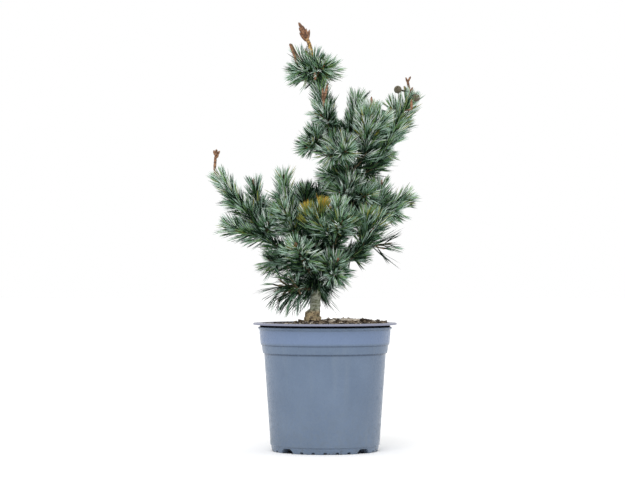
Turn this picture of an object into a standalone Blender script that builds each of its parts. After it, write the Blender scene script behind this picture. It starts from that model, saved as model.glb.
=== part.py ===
# Potted five-needle pine: a young grafted tree in a round nursery pot.
# Metres, +Z up. The origin is the centre of the pot's flat underside, and -Y is the front.

import math
import random

import bmesh
import bpy
import numpy as np
from mathutils import Matrix, Vector

# Pot: radius and height of its outside from the foot up to the lip, then of its inside down to the floor
POT_HEIGHT = 0.214
RIM_RADIUS = 0.120
FOOT_RADIUS = 0.0878
POT_OUTSIDE = (
    (FOOT_RADIUS, 0.0000), (0.0895, 0.0059), (0.0899, 0.0100), (0.0912, 0.0109), (0.1008, 0.1500),
    (0.1029, 0.1630), (0.1041, 0.1645), (0.1050, 0.1700), (0.1062, 0.1765), (0.1074, 0.1780),
    (0.1095, 0.1960), (0.1095, 0.2015), (0.1113, 0.2020), (0.1125, 0.2045), (0.1125, 0.2095),
    (RIM_RADIUS, 0.2095), (RIM_RADIUS, 0.2132), (0.1190, POT_HEIGHT),
)
POT_INSIDE = (
    (0.1109, POT_HEIGHT), (0.1099, 0.2035), (0.1069, 0.2005), (0.1036, 0.1760), (0.0989, 0.1600),
    (0.0886, 0.0090), (0, 0.0090),
)
POT_SIDES = 32
# Gaps in the pot's foot: turns from the middle of each quarter, width, height, nearest place to the axis
DRAIN_TURNS = (45,)
DRAIN_SHAPE = (math.radians(14), 0.0080, 0.040)
NOTCH_TURNS = (-26, -13, 0, 13, 26)
NOTCH_SHAPE = (math.radians(5), 0.0030, FOOT_RADIUS - 0.006)
GAP_TAPER = 1.3
CUT_BELOW = 0.002
CUT_RADIUS = 0.100

# Soil of bark chips: its mound, and the radius and height of its side from the rim down to the floor
SOIL_EDGE_HEIGHT = 0.2065
SOIL_MOUND_HEIGHT = 0.0140
SOIL_MOUND_PLACE = (0.030, -0.004)
SOIL_MOUND_SPREAD = 0.055
SOIL_TOP_HEIGHT = 0.2200
SOIL_SIDE = ((0.1066, 0.2000), (0.1014, 0.1755), (0.0983, 0.1600), (0.0880, 0.0120))
SOIL_SIDES = 24
SOIL_RINGS = 4

# Trunk: height above the soil, lean to the right, lean to the back
FOOT_HEIGHT = 0.2155
FOOT_PLACE = (-0.020, 0.0)
FOOT_FLAT_RADIUS = 0.020
TRUNK_BENDS = (
    (0.000, -0.020, 0.000), (0.024, -0.017, 0.000), (0.049, -0.015, 0.000),
    (0.094, -0.016, -0.004), (0.116, -0.007, -0.002), (0.136, 0.011, 0.002),
    (0.161, 0.031, 0.005), (0.191, 0.043, 0.006), (0.223, 0.045, 0.005),
    (0.253, 0.038, 0.003), (0.283, 0.025, 0.002), (0.313, 0.012, 0.000),
    (0.343, 0.002, 0.000), (0.373, -0.005, 0.000), (0.403, -0.012, 0.000),
)
TRUNK_GIRTHS = (
    (0.000, 0.0145), (0.006, 0.0140), (0.012, 0.0132), (0.018, 0.0112), (0.023, 0.0093),
    (0.032, 0.0088), (0.094, 0.0078), (0.161, 0.0068), (0.223, 0.0058), (0.283, 0.0046),
    (0.343, 0.0034), (0.403, 0.0026),
)
TRUNK_LENGTH = 0.403
TRUNK_SIDES = 12
GAP = 0.0003

# Boughs: height on the trunk, direction at the start and end, rise at the start and end, length,
# radius at the start and end
BOUGHS = {
    "left_outer": (0.092, (180, 176), (16, 44), 0.092, 0.0044, 0.0027),
    "left_inner": (0.106, (204, 196), (24, 62), 0.050, 0.0036, 0.0026),
    "left_back": (0.082, (146, 152), (10, 14), 0.062, 0.0038, 0.0026),
    "low_left": (0.058, (206, 200), (8, -4), 0.036, 0.0034, 0.0026),
    "front_left": (0.072, (250, 246), (18, 36), 0.058, 0.0036, 0.0026),
    "front_low": (0.052, (236, 222), (10, 0), 0.036, 0.0032, 0.0025),
    "front_right": (0.058, (298, 302), (16, 24), 0.050, 0.0035, 0.0026),
    "low_back": (0.068, (88, 80), (14, 26), 0.052, 0.0036, 0.0026),
    "right_back": (0.088, (40, 30), (12, 20), 0.064, 0.0038, 0.0026),
    "yellow": (0.100, (272, 262), (36, 60), 0.048, 0.0032, 0.0025),
    "back_left": (0.112, (116, 108), (34, 64), 0.068, 0.0038, 0.0026),
    "right_low": (0.075, (350, 342), (18, 44), 0.093, 0.0044, 0.0027),
    "centre_front": (0.112, (306, 298), (6, 30), 0.050, 0.0034, 0.0026),
    "right_mid": (0.163, (8, 4), (4, 24), 0.052, 0.0040, 0.0027),
    "back_mid": (0.174, (74, 66), (10, 26), 0.056, 0.0036, 0.0026),
    "right_upper": (0.236, (12, 4), (20, 58), 0.070, 0.0038, 0.0027),
    "right_inner": (0.248, (318, 330), (30, 60), 0.050, 0.0032, 0.0026),
    "back_right": (0.222, (50, 54), (20, 44), 0.060, 0.0034, 0.0026),
    "centre_upper": (0.270, (40, 10), (60, 82), 0.036, 0.0030, 0.0025),
    "left_upper": (0.284, (184, 182), (12, 22), 0.030, 0.0030, 0.0025),
    "back_upper": (0.276, (104, 98), (18, 44), 0.050, 0.0032, 0.0025),
}
BOUGH_SIDES = 6
BOUGH_STEPS = 4

# Masses: parent (a bough, or height on the trunk), direction of the leader at the start and end,
# its rise at the start and end, its reach, and its whorl: shoots, opening, first turn, place, reach
MASSES = {
    "left_outer": ("left_outer", (177, 180), (50, 54), 0.136, (1, 50, 20, 0.16, 0.060)),
    "left_inner": ("left_inner", (190, 150), (66, 92), 0.123, (2, 44, 10, 0.08, 0.066)),
    "left_back": ("left_back", (156, 166), (18, 12), 0.048, (3, 50, 75, 0.15, 0.038)),
    "low_left": ("low_left", (200, 196), (-6, -26), 0.058, (3, 46, 20, 0.12, 0.054)),
    "front_left": ("front_left", (250, 246), (38, 44), 0.061, (2, 60, 200, 0.12, 0.040)),
    "front_low": ("front_low", (226, 214), (-4, -22), 0.048, (3, 54, 90, 0.15, 0.046)),
    "front_right": ("front_right", (293, 293), (40, 48), 0.056, (3, 56, 170, 0.10, 0.044)),
    "low_back": ("low_back", (95, 100), (24, 34), 0.060, (3, 54, 80, 0.15, 0.050)),
    "right_back": ("right_back", (42, 38), (12, 18), 0.054, (2, 42, 30, 0.15, 0.038)),
    "yellow": ("yellow", (215, 205), (66, 76), 0.068, (1, 38, 170, 0.12, 0.056)),
    "back_left": ("back_left", (108, 116), (72, 80), 0.079, (3, 30, 10, 0.08, 0.072)),
    "right_low": ("right_low", (330, 320), (50, 62), 0.050, (1, 46, 20, 0.10, 0.046)),
    "centre_front": ("centre_front", (290, 290), (74, 80), 0.087, (4, 46, 5, 0.06, 0.060)),
    "right_mid": ("right_mid", (2, 2), (28, 36), 0.084, (2, 44, 150, 0.14, 0.050)),
    "back_mid": ("back_mid", (71, 71), (24, 40), 0.060, (2, 48, 10, 0.15, 0.052)),
    "trunk_front": (0.200, (240, 232), (36, 56), 0.054, (3, 46, 20, 0.30, 0.044)),
    "trunk_right": (0.196, (326, 326), (34, 52), 0.046, (3, 46, 60, 0.30, 0.044)),
    "trunk_left": (0.234, (186, 182), (18, 28), 0.056, (3, 44, 80, 0.35, 0.042)),
    "right_upper": ("right_upper", (4, 0), (62, 66), 0.111, (2, 22, 0, 0.05, 0.070)),
    "right_inner": ("right_inner", (305, 300), (72, 82), 0.089, (3, 20, -10, 0.08, 0.075)),
    "back_right": ("back_right", (48, 54), (50, 62), 0.073, (3, 44, 20, 0.12, 0.058)),
    "centre_upper": ("centre_upper", (0, 0), (80, 78), 0.090, (2, 30, 200, 0.06, 0.048)),
    "front_upper": (0.264, (250, 246), (26, 42), 0.065, (4, 46, 40, 0.35, 0.052)),
    "left_upper": ("left_upper", (182, 178), (24, 32), 0.043, (4, 60, 50, 0.12, 0.045)),
    "back_upper": ("back_upper", (108, 108), (46, 58), 0.062, (2, 40, 110, 0.12, 0.044)),
    "neck_left": (0.326, (200, 184), (56, 82), 0.056, (2, 34, 60, 0.25, 0.040)),
    "neck_front": (0.322, (262, 214), (34, 78), 0.060, (2, 30, 110, 0.25, 0.038)),
    "neck_back": (0.338, (92, 110), (36, 70), 0.052, (2, 34, 100, 0.25, 0.036)),
    "top": (TRUNK_LENGTH, (200, 170), (74, 84), 0.046, (5, 86, 18, 0.16, 0.054)),
}
# Shoots of their own beside a whorl: mass, place on the leader, direction, rise, reach
LONE_SHOOTS = {
    "left_tall": ("left_outer", 0.05, (146, 160), (70, 84), 0.107),
    "left_far": ("left_outer", 0.02, (188, 184), (8, 30), 0.088),
    "left_front": ("left_outer", 0.03, (276, 276), (36, 50), 0.056),
    "left_side": ("left_inner", 0.03, (158, 150), (44, 64), 0.082),
    "left_middle": ("left_inner", 0.02, (204, 198), (36, 56), 0.056),
    "yellow_right": ("yellow", 0.05, (322, 322), (66, 78), 0.073),
    "yellow_middle": ("yellow", 0.08, (55, 55), (78, 84), 0.064),
    "right_front": ("right_low", 0.04, (300, 300), (70, 82), 0.076),
    "right_pale": ("right_low", 0.06, (6, 0), (54, 68), 0.074),
    "right_sweep": ("right_low", 0.10, (352, 362), (0, 14), 0.066),
    "right_bud": ("right_mid", 0.04, (346, 346), (76, 88), 0.071),
    "right_under": ("right_mid", 0.05, (338, 338), (0, 6), 0.042),
    "right_small": ("right_mid", 0.08, (231, 231), (46, 60), 0.056),
    "right_shelf": ("right_upper", 0.02, (340, 334), (0, 10), 0.027),
    "centre_tip": ("centre_upper", 0.08, (8, 8), (62, 74), 0.068),
    "centre_dark": ("centre_upper", 0.06, (232, 226), (44, 60), 0.034),
    "top_side": ("top", 0.10, (180, 178), (40, 66), 0.072),
    "top_low": ("top", 0.05, (196, 190), (8, -6), 0.054),
    "top_bud": ("top", 0.14, (345, 345), (48, 66), 0.044),
}
# Candles at shoots' tips: length of bare tip under it, direction, rise, length, buds on top
CANDLES = {
    "left_outer": (0.004, (20, 0), (86, 88), 0.037, 4),
    "right_upper": (0.004, (170, 150), (84, 88), 0.027, 3),
    "top": (0.010, (180, 180), (72, 60), 0.056, 5),
    "top_side": (0.044, (176, 176), (66, 66), 0.004, 0),
}
# Young cones at a shoot's tip: direction, rise, distance
CONES = {"right_upper": ((180, 28, 0.020), (0, -14, 0.0125))}
CONE_RADIUS = 0.0065
CONE_STALK_RADIUS = 0.0018
CANDLE_RADIUS = 0.0026
CANDLE_SIDES = 5
CANDLE_FOOT_DEPTH = 0.003
BUD_LENGTH = 0.010
BUD_RADII = (0.0019, 0.0029, 0.0012)
BUD_OPENING = (6, 48)

# Shoots: a stem that swells into a slim core of packed needles, and the needles that stand out of it
STEM_RADIUS = 0.0026
CORE_RADIUS = 0.0066
CORE_TIP_RADIUS = 0.0020
CANDLE_STEM_RADIUS = 0.0030
SHOOT_SIDES = 4
SHOOT_STEPS = 4
SHOOT_OVERHANG = 0.030
SHOOT_APART = 0.0085
SHOOT_OVER_LIP = 0.016
SHOOT_STATIONS = (0, 0.22, 0.70, 1.0)
CANDLE_SHOOT_STATIONS = (0, 0.16, 0.5, 0.88, 1.0)
# Turns that a crowded side shoot tries one after another before it is left out
NUDGES = (0, 18, -18, 36, -36, 54, -54)
NEEDLE_LENGTH = 0.042
NEEDLE_RADIUS = 0.0025
NEEDLE_SPACING = 0.0085
FEWEST_NEEDLES = 4
NEEDLE_TURN = 90
NEEDLE_OPENING = (42, 20)
NEEDLE_CLEARANCE = 0.0006
NEEDLE_OVER_SOIL = 0.002
NEEDLE_PAST_RIM = 0.004
CANDLE_OVERLAP = 0.014
SHORTER = (1.0, 0.8, 0.62, 0.46)
SEED = 47

BARK_COLOR = (0.16, 0.13, 0.10)
NEEDLE_COLOR = (0.20, 0.30, 0.24)
YELLOW_COLOR = (0.45, 0.42, 0.18)
POT_COLOR = (0.21, 0.27, 0.37)
SOIL_COLOR = (0.12, 0.085, 0.06)


def clear_scene():
    for thing in list(bpy.data.objects):
        bpy.data.objects.remove(thing, do_unlink=True)


def make_material(name, color, roughness, metallic=0.0):
    material = bpy.data.materials.new(name)
    material.use_nodes = True
    shader = material.node_tree.nodes["Principled BSDF"]
    shader.inputs["Base Color"].default_value = (*color, 1.0)
    shader.inputs["Roughness"].default_value = roughness
    shader.inputs["Metallic"].default_value = metallic
    return material


def add_object(name, mesh_builder, material=None):
    mesh = bpy.data.meshes.new(name)
    mesh_builder.to_mesh(mesh)
    mesh_builder.free()
    thing = bpy.data.objects.new(name, mesh)
    bpy.context.scene.collection.objects.link(thing)
    if material:
        mesh.materials.append(material)
    return thing


def apply_modifiers(thing):
    graph = bpy.context.evaluated_depsgraph_get()
    finished = bpy.data.meshes.new_from_object(thing.evaluated_get(graph))
    thing.modifiers.clear()
    thing.data = finished


def cut_away(thing, cutter):
    cut = thing.modifiers.new("cut", "BOOLEAN")
    cut.operation = "DIFFERENCE"
    cut.object = cutter
    apply_modifiers(thing)


def smooth(thing, sharp_degrees):
    thing.data.shade_smooth()
    thing.data.set_sharp_from_angle(angle=math.radians(sharp_degrees))


def turned(profile, sides):
    """A closed body of revolution: the profile runs from the axis, round the section, back to the axis."""
    builder = bmesh.new()
    rings = []
    for radius, height in profile:
        if radius == 0:
            rings.append([builder.verts.new((0, 0, height))])
            continue
        angles = [2 * math.pi * k / sides for k in range(sides)]
        ring = [builder.verts.new((radius * math.cos(a), radius * math.sin(a), height)) for a in angles]
        rings.append(ring)
    for lower, upper in zip(rings, rings[1:]):
        for k in range(sides):
            corners = [lower[k % len(lower)], lower[(k + 1) % len(lower)]]
            corners += [upper[(k + 1) % len(upper)], upper[k % len(upper)]]
            builder.faces.new(list(dict.fromkeys(corners)))
    bmesh.ops.recalc_face_normals(builder, faces=builder.faces)
    return builder


def wedge(turn, width, height, reach):
    """A prism that fans out from the axis and narrows upwards, to cut a gap in the pot's foot."""
    builder = bmesh.new()
    sides = []
    for z, spread in ((-CUT_BELOW, width / 2), (height, width / 2 / GAP_TAPER)):
        corners = []
        for radius, angle in ((reach, -spread), (CUT_RADIUS, -spread), (CUT_RADIUS, spread), (reach, spread)):
            place = (radius * math.cos(turn + angle), radius * math.sin(turn + angle), z)
            corners.append(builder.verts.new(place))
        sides.append(corners)
    lower, upper = sides
    builder.faces.new(reversed(lower))
    builder.faces.new(upper)
    for k in range(4):
        after = (k + 1) % 4
        builder.faces.new((lower[k], lower[after], upper[after], upper[k]))
    bmesh.ops.recalc_face_normals(builder, faces=builder.faces)
    return add_object("cutter", builder)


def build_pot(material):
    """The pot as one turned shell, with drain gaps and air notches cut into its foot."""
    pot = add_object("pot", turned(((0, 0),) + POT_OUTSIDE + POT_INSIDE, POT_SIDES), material)
    cutters = []
    for quarter in (0, 90, 180, 270):
        for turns, (width, height, reach) in ((DRAIN_TURNS, DRAIN_SHAPE), (NOTCH_TURNS, NOTCH_SHAPE)):
            for turn in turns:
                cutters.append(wedge(math.radians(quarter + turn), width, height, reach))
    for cutter in cutters:
        cut_away(pot, cutter)
        bpy.data.objects.remove(cutter)
    smooth(pot, 28)
    return pot


def soil_height(x, y):
    px, py = SOIL_MOUND_PLACE
    reach = ((x - px) ** 2 + (y - py) ** 2) / (2 * SOIL_MOUND_SPREAD ** 2)
    return min(SOIL_TOP_HEIGHT, SOIL_EDGE_HEIGHT + SOIL_MOUND_HEIGHT * math.exp(-reach))


def build_soil(material):
    """Bark chips that fill the pot: a level spot under the trunk, a mound on the right."""
    builder = bmesh.new()
    flat_of_pot = math.cos(math.pi / POT_SIDES)
    angles = [2 * math.pi * k / SOIL_SIDES for k in range(SOIL_SIDES)]
    outs = [Vector((math.cos(angle), math.sin(angle))) for angle in angles]
    top_radius, edge_height = SOIL_SIDE[0]
    rings = []
    for step in range(SOIL_RINGS + 1):
        ring = []
        for out in outs:
            foot = Vector(FOOT_PLACE) + FOOT_FLAT_RADIUS * out
            place = foot.lerp(top_radius * flat_of_pot * out, step / SOIL_RINGS)
            level = FOOT_HEIGHT if step == 0 else soil_height(*place)
            if step == SOIL_RINGS:
                level = edge_height
            ring.append(builder.verts.new((place.x, place.y, level)))
        rings.append(ring)
    for radius, height in SOIL_SIDE[1:]:
        reach = radius * flat_of_pot
        rings.append([builder.verts.new((reach * out.x, reach * out.y, height)) for out in outs])
    for upper, lower in zip(rings, rings[1:]):
        for k in range(SOIL_SIDES):
            after = (k + 1) % SOIL_SIDES
            builder.faces.new((upper[k], lower[k], lower[after], upper[after]))
    builder.faces.new(rings[0])
    builder.faces.new(reversed(rings[-1]))
    bmesh.ops.recalc_face_normals(builder, faces=builder.faces)
    soil = add_object("soil", builder, material)
    smooth(soil, 40)
    return soil


def heading(direction, rise):
    turn, lift = math.radians(direction), math.radians(rise)
    return Vector((math.cos(turn) * math.cos(lift), math.sin(turn) * math.cos(lift), math.sin(lift)))


def grow(start, directions, rises, length, steps):
    """A path that turns evenly from its first heading to its last."""
    path = [start]
    for step in range(steps):
        part = (step + 0.5) / steps
        direction = directions[0] + (directions[1] - directions[0]) * part
        rise = rises[0] + (rises[1] - rises[0]) * part
        path.append(path[-1] + heading(direction, rise) * (length / steps))
    return path


def between(rows, height):
    """The two rows round a height, their neighbours, and the share of the way between them."""
    k = 0
    while k < len(rows) - 2 and height > rows[k + 1][0]:
        k += 1
    share = (height - rows[k][0]) / (rows[k + 1][0] - rows[k][0])
    return rows[max(k - 1, 0)], rows[k], rows[k + 1], rows[min(k + 2, len(rows) - 1)], share


def trunk_point(height):
    """A smooth curve through the trunk's bends."""
    before, low, high, after, t = between(TRUNK_BENDS, height)
    place = []
    for axis in (1, 2):
        a, b, c, d = before[axis], low[axis], high[axis], after[axis]
        curve = 2 * b + (c - a) * t + (2 * a - 5 * b + 4 * c - d) * t * t + (3 * b - a - 3 * c + d) * t ** 3
        place.append(curve / 2)
    return Vector((place[0], place[1], FOOT_HEIGHT + GAP + height))


def trunk_radius(height):
    _, low, high, _, share = between(TRUNK_GIRTHS, height)
    return low[1] + (high[1] - low[1]) * share


def along(path, place):
    """The point at a share of a path's length, and the heading there."""
    step = min(int(place * (len(path) - 1)), len(path) - 2)
    part = place * (len(path) - 1) - step
    return path[step].lerp(path[step + 1], part), (path[step + 1] - path[step]).normalized()


def frames_of(path, first_heading=None):
    """At each point of a path, the two directions square to it, carried along without a twist."""
    frames = []
    side = Vector((0.3, -1, 0))
    for k in range(len(path)):
        ahead = path[min(k + 1, len(path) - 1)] - path[max(k - 1, 0)]
        if k == 0 and first_heading:
            ahead = first_heading
        ahead = ahead.normalized()
        side = (side - ahead * side.dot(ahead)).normalized()
        frames.append((side, ahead.cross(side)))
    return frames


def limb(path, radii, sides, first_heading=None):
    """A tapering limb with flat ends, its rings square to the path."""
    builder = bmesh.new()
    rings = []
    angles = [2 * math.pi * (n + 0.5) / sides for n in range(sides)]
    for point, radius, (side, lift) in zip(path, radii, frames_of(path, first_heading)):
        spokes = [side * math.cos(a) + lift * math.sin(a) for a in angles]
        rings.append([builder.verts.new(point + radius * spoke) for spoke in spokes])
    for low, high in zip(rings, rings[1:]):
        for n in range(sides):
            after = (n + 1) % sides
            builder.faces.new((low[n], low[after], high[after], high[n]))
    builder.faces.new(reversed(rings[0]))
    builder.faces.new(rings[-1])
    bmesh.ops.recalc_face_normals(builder, faces=builder.faces)
    return builder


def spike(root, tip, radius):
    """A three-sided needle with its point at the tip."""
    builder = bmesh.new()
    ahead = (tip - root).normalized()
    side = ahead.orthogonal().normalized()
    lift = ahead.cross(side)
    angles = [2 * math.pi * n / 3 for n in range(3)]
    base = [builder.verts.new(root + radius * (side * math.cos(a) + lift * math.sin(a))) for a in angles]
    point = builder.verts.new(tip)
    for n in range(3):
        builder.faces.new((base[n], base[(n + 1) % 3], point))
    builder.faces.new(reversed(base))
    bmesh.ops.recalc_face_normals(builder, faces=builder.faces)
    return builder


def ball(place, radius):
    builder = bmesh.new()
    bmesh.ops.create_icosphere(builder, subdivisions=1, radius=radius, matrix=Matrix.Translation(place))
    return builder


class Limb:
    """A trunk or bough: its path, its radius along it, and where it ends."""

    def __init__(self, path, radii):
        self.path = path
        self.radii = radii

    def end(self):
        return self.path[-1], (self.path[-1] - self.path[-2]).normalized()


def plan_limbs():
    stations = sorted({row[0] for row in TRUNK_BENDS} | {row[0] for row in TRUNK_GIRTHS})
    limbs = {"trunk": Limb([trunk_point(h) for h in stations], [trunk_radius(h) for h in stations])}
    for name, (height, directions, rises, length, thick, thin) in BOUGHS.items():
        path = grow(trunk_point(height), directions, rises, length, BOUGH_STEPS)
        radii = [thick + (thin - thick) * k / BOUGH_STEPS for k in range(BOUGH_STEPS + 1)]
        limbs[name] = Limb(path, radii)
    return limbs


class Shoot:
    """A twig with needles. Its reach is the way to the last needle's point, and its core ends before it."""

    def __init__(self, start, directions, rises, reach, name="", first_heading=None):
        self.name = name
        self.reach = reach
        self.candle = name in CANDLES
        self.first_heading = first_heading
        self.whole = grow(start, directions, rises, reach, SHOOT_STEPS)
        self.core_length = reach if self.candle else max(reach * 0.45, reach - SHOOT_OVERHANG)
        self.leafy = self.core_length - (CANDLES[name][0] if self.candle else 0)
        stations = CANDLE_SHOOT_STATIONS if self.candle else SHOOT_STATIONS
        self.path = [along(self.whole, share * self.core_length / reach)[0] for share in stations]
        self.stations = stations
        self.frames = frames_of(self.path, first_heading)
        self.radii = [STEM_RADIUS] + [CORE_RADIUS] * (len(stations) - 2) + [CORE_TIP_RADIUS]
        if self.candle:
            self.radii[-2:] = [CANDLE_STEM_RADIUS, CANDLE_STEM_RADIUS]

    def out(self, share, opening, turn):
        """The heading of a needle at a share of the core, on the side of the core that its turn gives."""
        ahead = along(self.whole, share * self.core_length / self.reach)[1]
        nearest = min(range(len(self.stations)), key=lambda k: abs(self.stations[k] - share))
        side, lift = self.frames[nearest]
        away = side * math.cos(math.radians(turn)) + lift * math.sin(math.radians(turn))
        away = (away - ahead * away.dot(ahead)).normalized()
        return ahead * math.cos(math.radians(opening)) + away * math.sin(math.radians(opening))


def side_heading(ahead, opening, turn):
    """The heading of a side shoot that opens from its leader by one angle and turns round it by another."""
    side = ahead.cross(Vector((0, 0, 1)))
    side = side.normalized() if side.length > 0.001 else Vector((1, 0, 0))
    lift = side.cross(ahead)
    out = side * math.cos(math.radians(turn)) + lift * math.sin(math.radians(turn))
    return ahead * math.cos(math.radians(opening)) + out * math.sin(math.radians(opening))


def angles_of(ahead):
    rise = math.degrees(math.asin(max(-1.0, min(1.0, ahead.z))))
    return math.degrees(math.atan2(ahead.y, ahead.x)), rise


def on_trunk_side(parent):
    return not isinstance(parent, str) and parent < TRUNK_LENGTH


def segments_of(paths):
    starts = [point for path in paths for point in path[:-1]]
    ends = [point for path in paths for point in path[1:]]
    return np.array(starts), np.array(ends)


def distances(points, segments):
    """From each point to its nearest place on each segment."""
    starts, ends = segments
    run = ends - starts
    offset = points[:, None, :] - starts[None, :, :]
    share = np.clip((offset * run).sum(-1) / (run * run).sum(-1), 0, 1)
    return np.linalg.norm(offset - share[..., None] * run, axis=-1)


def plan_leaders(limbs):
    """The first shoot of each mass, which goes on from its bough's tip or stands on the trunk."""
    masses = {}
    for name, (parent, directions, rises, reach, _) in MASSES.items():
        ahead = None
        start = trunk_point(parent) if on_trunk_side(parent) else None
        if start is None:
            point, ahead = limbs["trunk" if parent == TRUNK_LENGTH else parent].end()
            start = point + ahead * GAP
        masses[name] = [Shoot(start, directions, rises, reach, name, ahead)]
    for name, (mass, place, directions, rises, reach) in LONE_SHOOTS.items():
        start = along(masses[mass][0].whole, place)[0]
        masses[mass].append(Shoot(start, directions, rises, reach, name))
    return masses


def has_room(shoot, name, masses, limbs):
    """Whether a side shoot keeps away from the other masses' shoots and from the limbs."""
    points = np.array([along(shoot.whole, s / 10)[0] for s in range(2, 11)])
    others = segments_of([one.whole for mass in masses if mass != name for one in masses[mass]])
    if distances(points, others).min() < SHOOT_APART:
        return False
    for one in limbs.values():
        girths = np.array([max(a, b) for a, b in zip(one.radii, one.radii[1:])])
        if (distances(points, segments_of([one.path])) - girths).min() < SHOOT_APART / 2:
            return False
    return min(points[:, 2]) > POT_HEIGHT + SHOOT_OVER_LIP


def plan_shoots(limbs):
    """Each mass: its leader, and a whorl of side shoots by a seeded rule that may turn or skip one."""
    masses = plan_leaders(limbs)
    for name in MASSES:
        rule = random.Random(SEED + sum(ord(letter) for letter in name))
        leader = masses[name][0]
        count, opening, first_turn, place, side_reach = MASSES[name][-1]
        for k in range(count):
            spot = min(0.8, place + 0.05 * k + rule.uniform(-0.02, 0.02))
            root, ahead = along(leader.whole, spot)
            turn = first_turn + 360 * k / count + rule.uniform(-10, 10)
            spread = opening + rule.uniform(-5, 5)
            length = side_reach * rule.uniform(0.90, 1.08)
            for nudge in NUDGES:
                direction, rise = angles_of(side_heading(ahead, spread, turn + nudge))
                shoot = Shoot(root, (direction, direction), (rise, min(86, rise + 14)), length)
                if has_room(shoot, name, masses, limbs):
                    masses[name].append(shoot)
                    break
    return masses


class Space:
    """The room of one mass: nearer to its own shoots than to any other mass's, and clear of the limbs."""

    def __init__(self, name, masses, limbs):
        self.own = segments_of([shoot.whole for shoot in masses[name]])
        self.others = segments_of([one.whole for mass in masses if mass != name for one in masses[mass]])
        self.limbs = []
        for one in limbs.values():
            girths = np.array([max(a, b) for a, b in zip(one.radii, one.radii[1:])])
            self.limbs.append((segments_of([one.path]), girths))

    def room_round(self, point):
        """The widest radius that a core may have at a point of its own axis."""
        spot = np.array([point])
        room = distances(spot, self.others).min() / 2
        for segments, girths in self.limbs:
            room = min(room, (distances(spot, segments) - girths).min())
        return float(room) - NEEDLE_CLEARANCE

    def holds(self, points, radii):
        own = distances(points, self.own).min(axis=1)
        others = distances(points, self.others).min(axis=1)
        if (own + 2 * radii + NEEDLE_CLEARANCE > others).any():
            return False
        for segments, girths in self.limbs:
            room = (distances(points, segments) - girths).min(axis=1)
            if (room < radii + NEEDLE_CLEARANCE).any():
                return False
        for (x, y, z), radius in zip(points, radii):
            near_pot = math.hypot(x, y) < RIM_RADIUS + NEEDLE_PAST_RIM
            if near_pot and z - radius < max(POT_HEIGHT, soil_height(x, y)) + NEEDLE_OVER_SOIL:
                return False
        return True


def plan_needles(shoots, space, rule):
    """Needles wind round each core in rows, open at its foot and closer to it at its tip."""
    needles = []
    samples = np.linspace(0.12, 1.0, 16)
    wide, narrow = NEEDLE_OPENING
    for shoot in shoots:
        count = max(FEWEST_NEEDLES, round(shoot.leafy / NEEDLE_SPACING))
        for k in range(count):
            share = (k + 0.9) / (count + 0.4) * shoot.leafy / shoot.core_length
            root = along(shoot.whole, share * shoot.core_length / shoot.reach)[0]
            opening = wide + (narrow - wide) * k / count + rule.uniform(-5, 5)
            out = shoot.out(share, opening, NEEDLE_TURN * k + rule.uniform(-8, 8))
            length = NEEDLE_LENGTH * rule.uniform(0.86, 1.04)
            room_ahead = shoot.reach - share * shoot.core_length + (CANDLE_OVERLAP if shoot.candle else 0)
            length = min(length, room_ahead / math.cos(math.radians(opening)))
            for part in SHORTER:
                tip = root + out * length * part
                points = np.array([root.lerp(tip, s) for s in samples])
                if space.holds(points, NEEDLE_RADIUS * (1 - samples)):
                    needles.append((root, tip))
                    break
    return needles


def fuse(name, pieces, material, cutter):
    """Joins the pieces of a mass into one body, by one union on a collection."""
    group = bpy.data.collections.new(name + "_pieces")
    helpers = []
    for k, builder in enumerate(pieces[1:]):
        helper = add_object("piece_%03d" % k, builder)
        bpy.context.scene.collection.objects.unlink(helper)
        group.objects.link(helper)
        helpers.append(helper)
    bpy.context.scene.collection.children.link(group)
    mass = add_object(name, pieces[0], material)
    union = mass.modifiers.new("union", "BOOLEAN")
    union.operation = "UNION"
    union.operand_type = "COLLECTION"
    union.solver = "MANIFOLD"
    union.collection = group
    apply_modifiers(mass)
    for helper in helpers:
        bpy.data.objects.remove(helper, do_unlink=True)
    bpy.data.collections.remove(group)
    if cutter:
        cut_away(mass, cutter)
    keep_largest(mass)
    mass.data.materials.clear()
    mass.data.materials.append(material)
    return mass


def keep_largest(thing):
    """Fills hollows that the union sealed and drops loose scraps."""
    builder = bmesh.new()
    builder.from_mesh(thing.data)
    unseen = set(builder.verts)
    shells = []
    while unseen:
        stack = [unseen.pop()]
        shell = []
        while stack:
            corner = stack.pop()
            shell.append(corner)
            for edge in corner.link_edges:
                other = edge.other_vert(corner)
                if other in unseen:
                    unseen.remove(other)
                    stack.append(other)
        shells.append(shell)
    shells.sort(key=len)
    scraps = [corner for shell in shells[:-1] for corner in shell]
    bmesh.ops.delete(builder, geom=scraps, context="VERTS")
    builder.to_mesh(thing.data)
    builder.free()


def candle_pieces(shoot):
    """The bare candle on a shoot's tip, its cluster of buds, and the young cones beside it."""
    _, directions, rises, length, buds = CANDLES[shoot.name]
    ahead = (shoot.path[-1] - shoot.path[-2]).normalized()
    path = grow(shoot.path[-1] - ahead * CANDLE_FOOT_DEPTH, directions, rises, length, 3)
    girths = [CANDLE_RADIUS * share for share in (1, 1.1, 1, 0.9)]
    pieces = [limb(path, girths, CANDLE_SIDES)]
    top, ahead = along(path, 0.93)
    for k in range(buds):
        out = side_heading(ahead, BUD_OPENING[min(k, 1)], 360 * k / max(buds - 1, 1))
        bud = [top, top + out * BUD_LENGTH * 0.6, top + out * BUD_LENGTH]
        pieces.append(limb(bud, BUD_RADII, SHOOT_SIDES))
    for direction, rise, reach in CONES.get(shoot.name, ()):
        centre = path[0] + heading(direction, rise) * reach
        pieces.append(limb([path[0], centre], [CONE_STALK_RADIUS] * 2, SHOOT_SIDES))
        pieces.append(ball(centre, CONE_RADIUS))
    return pieces


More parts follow.
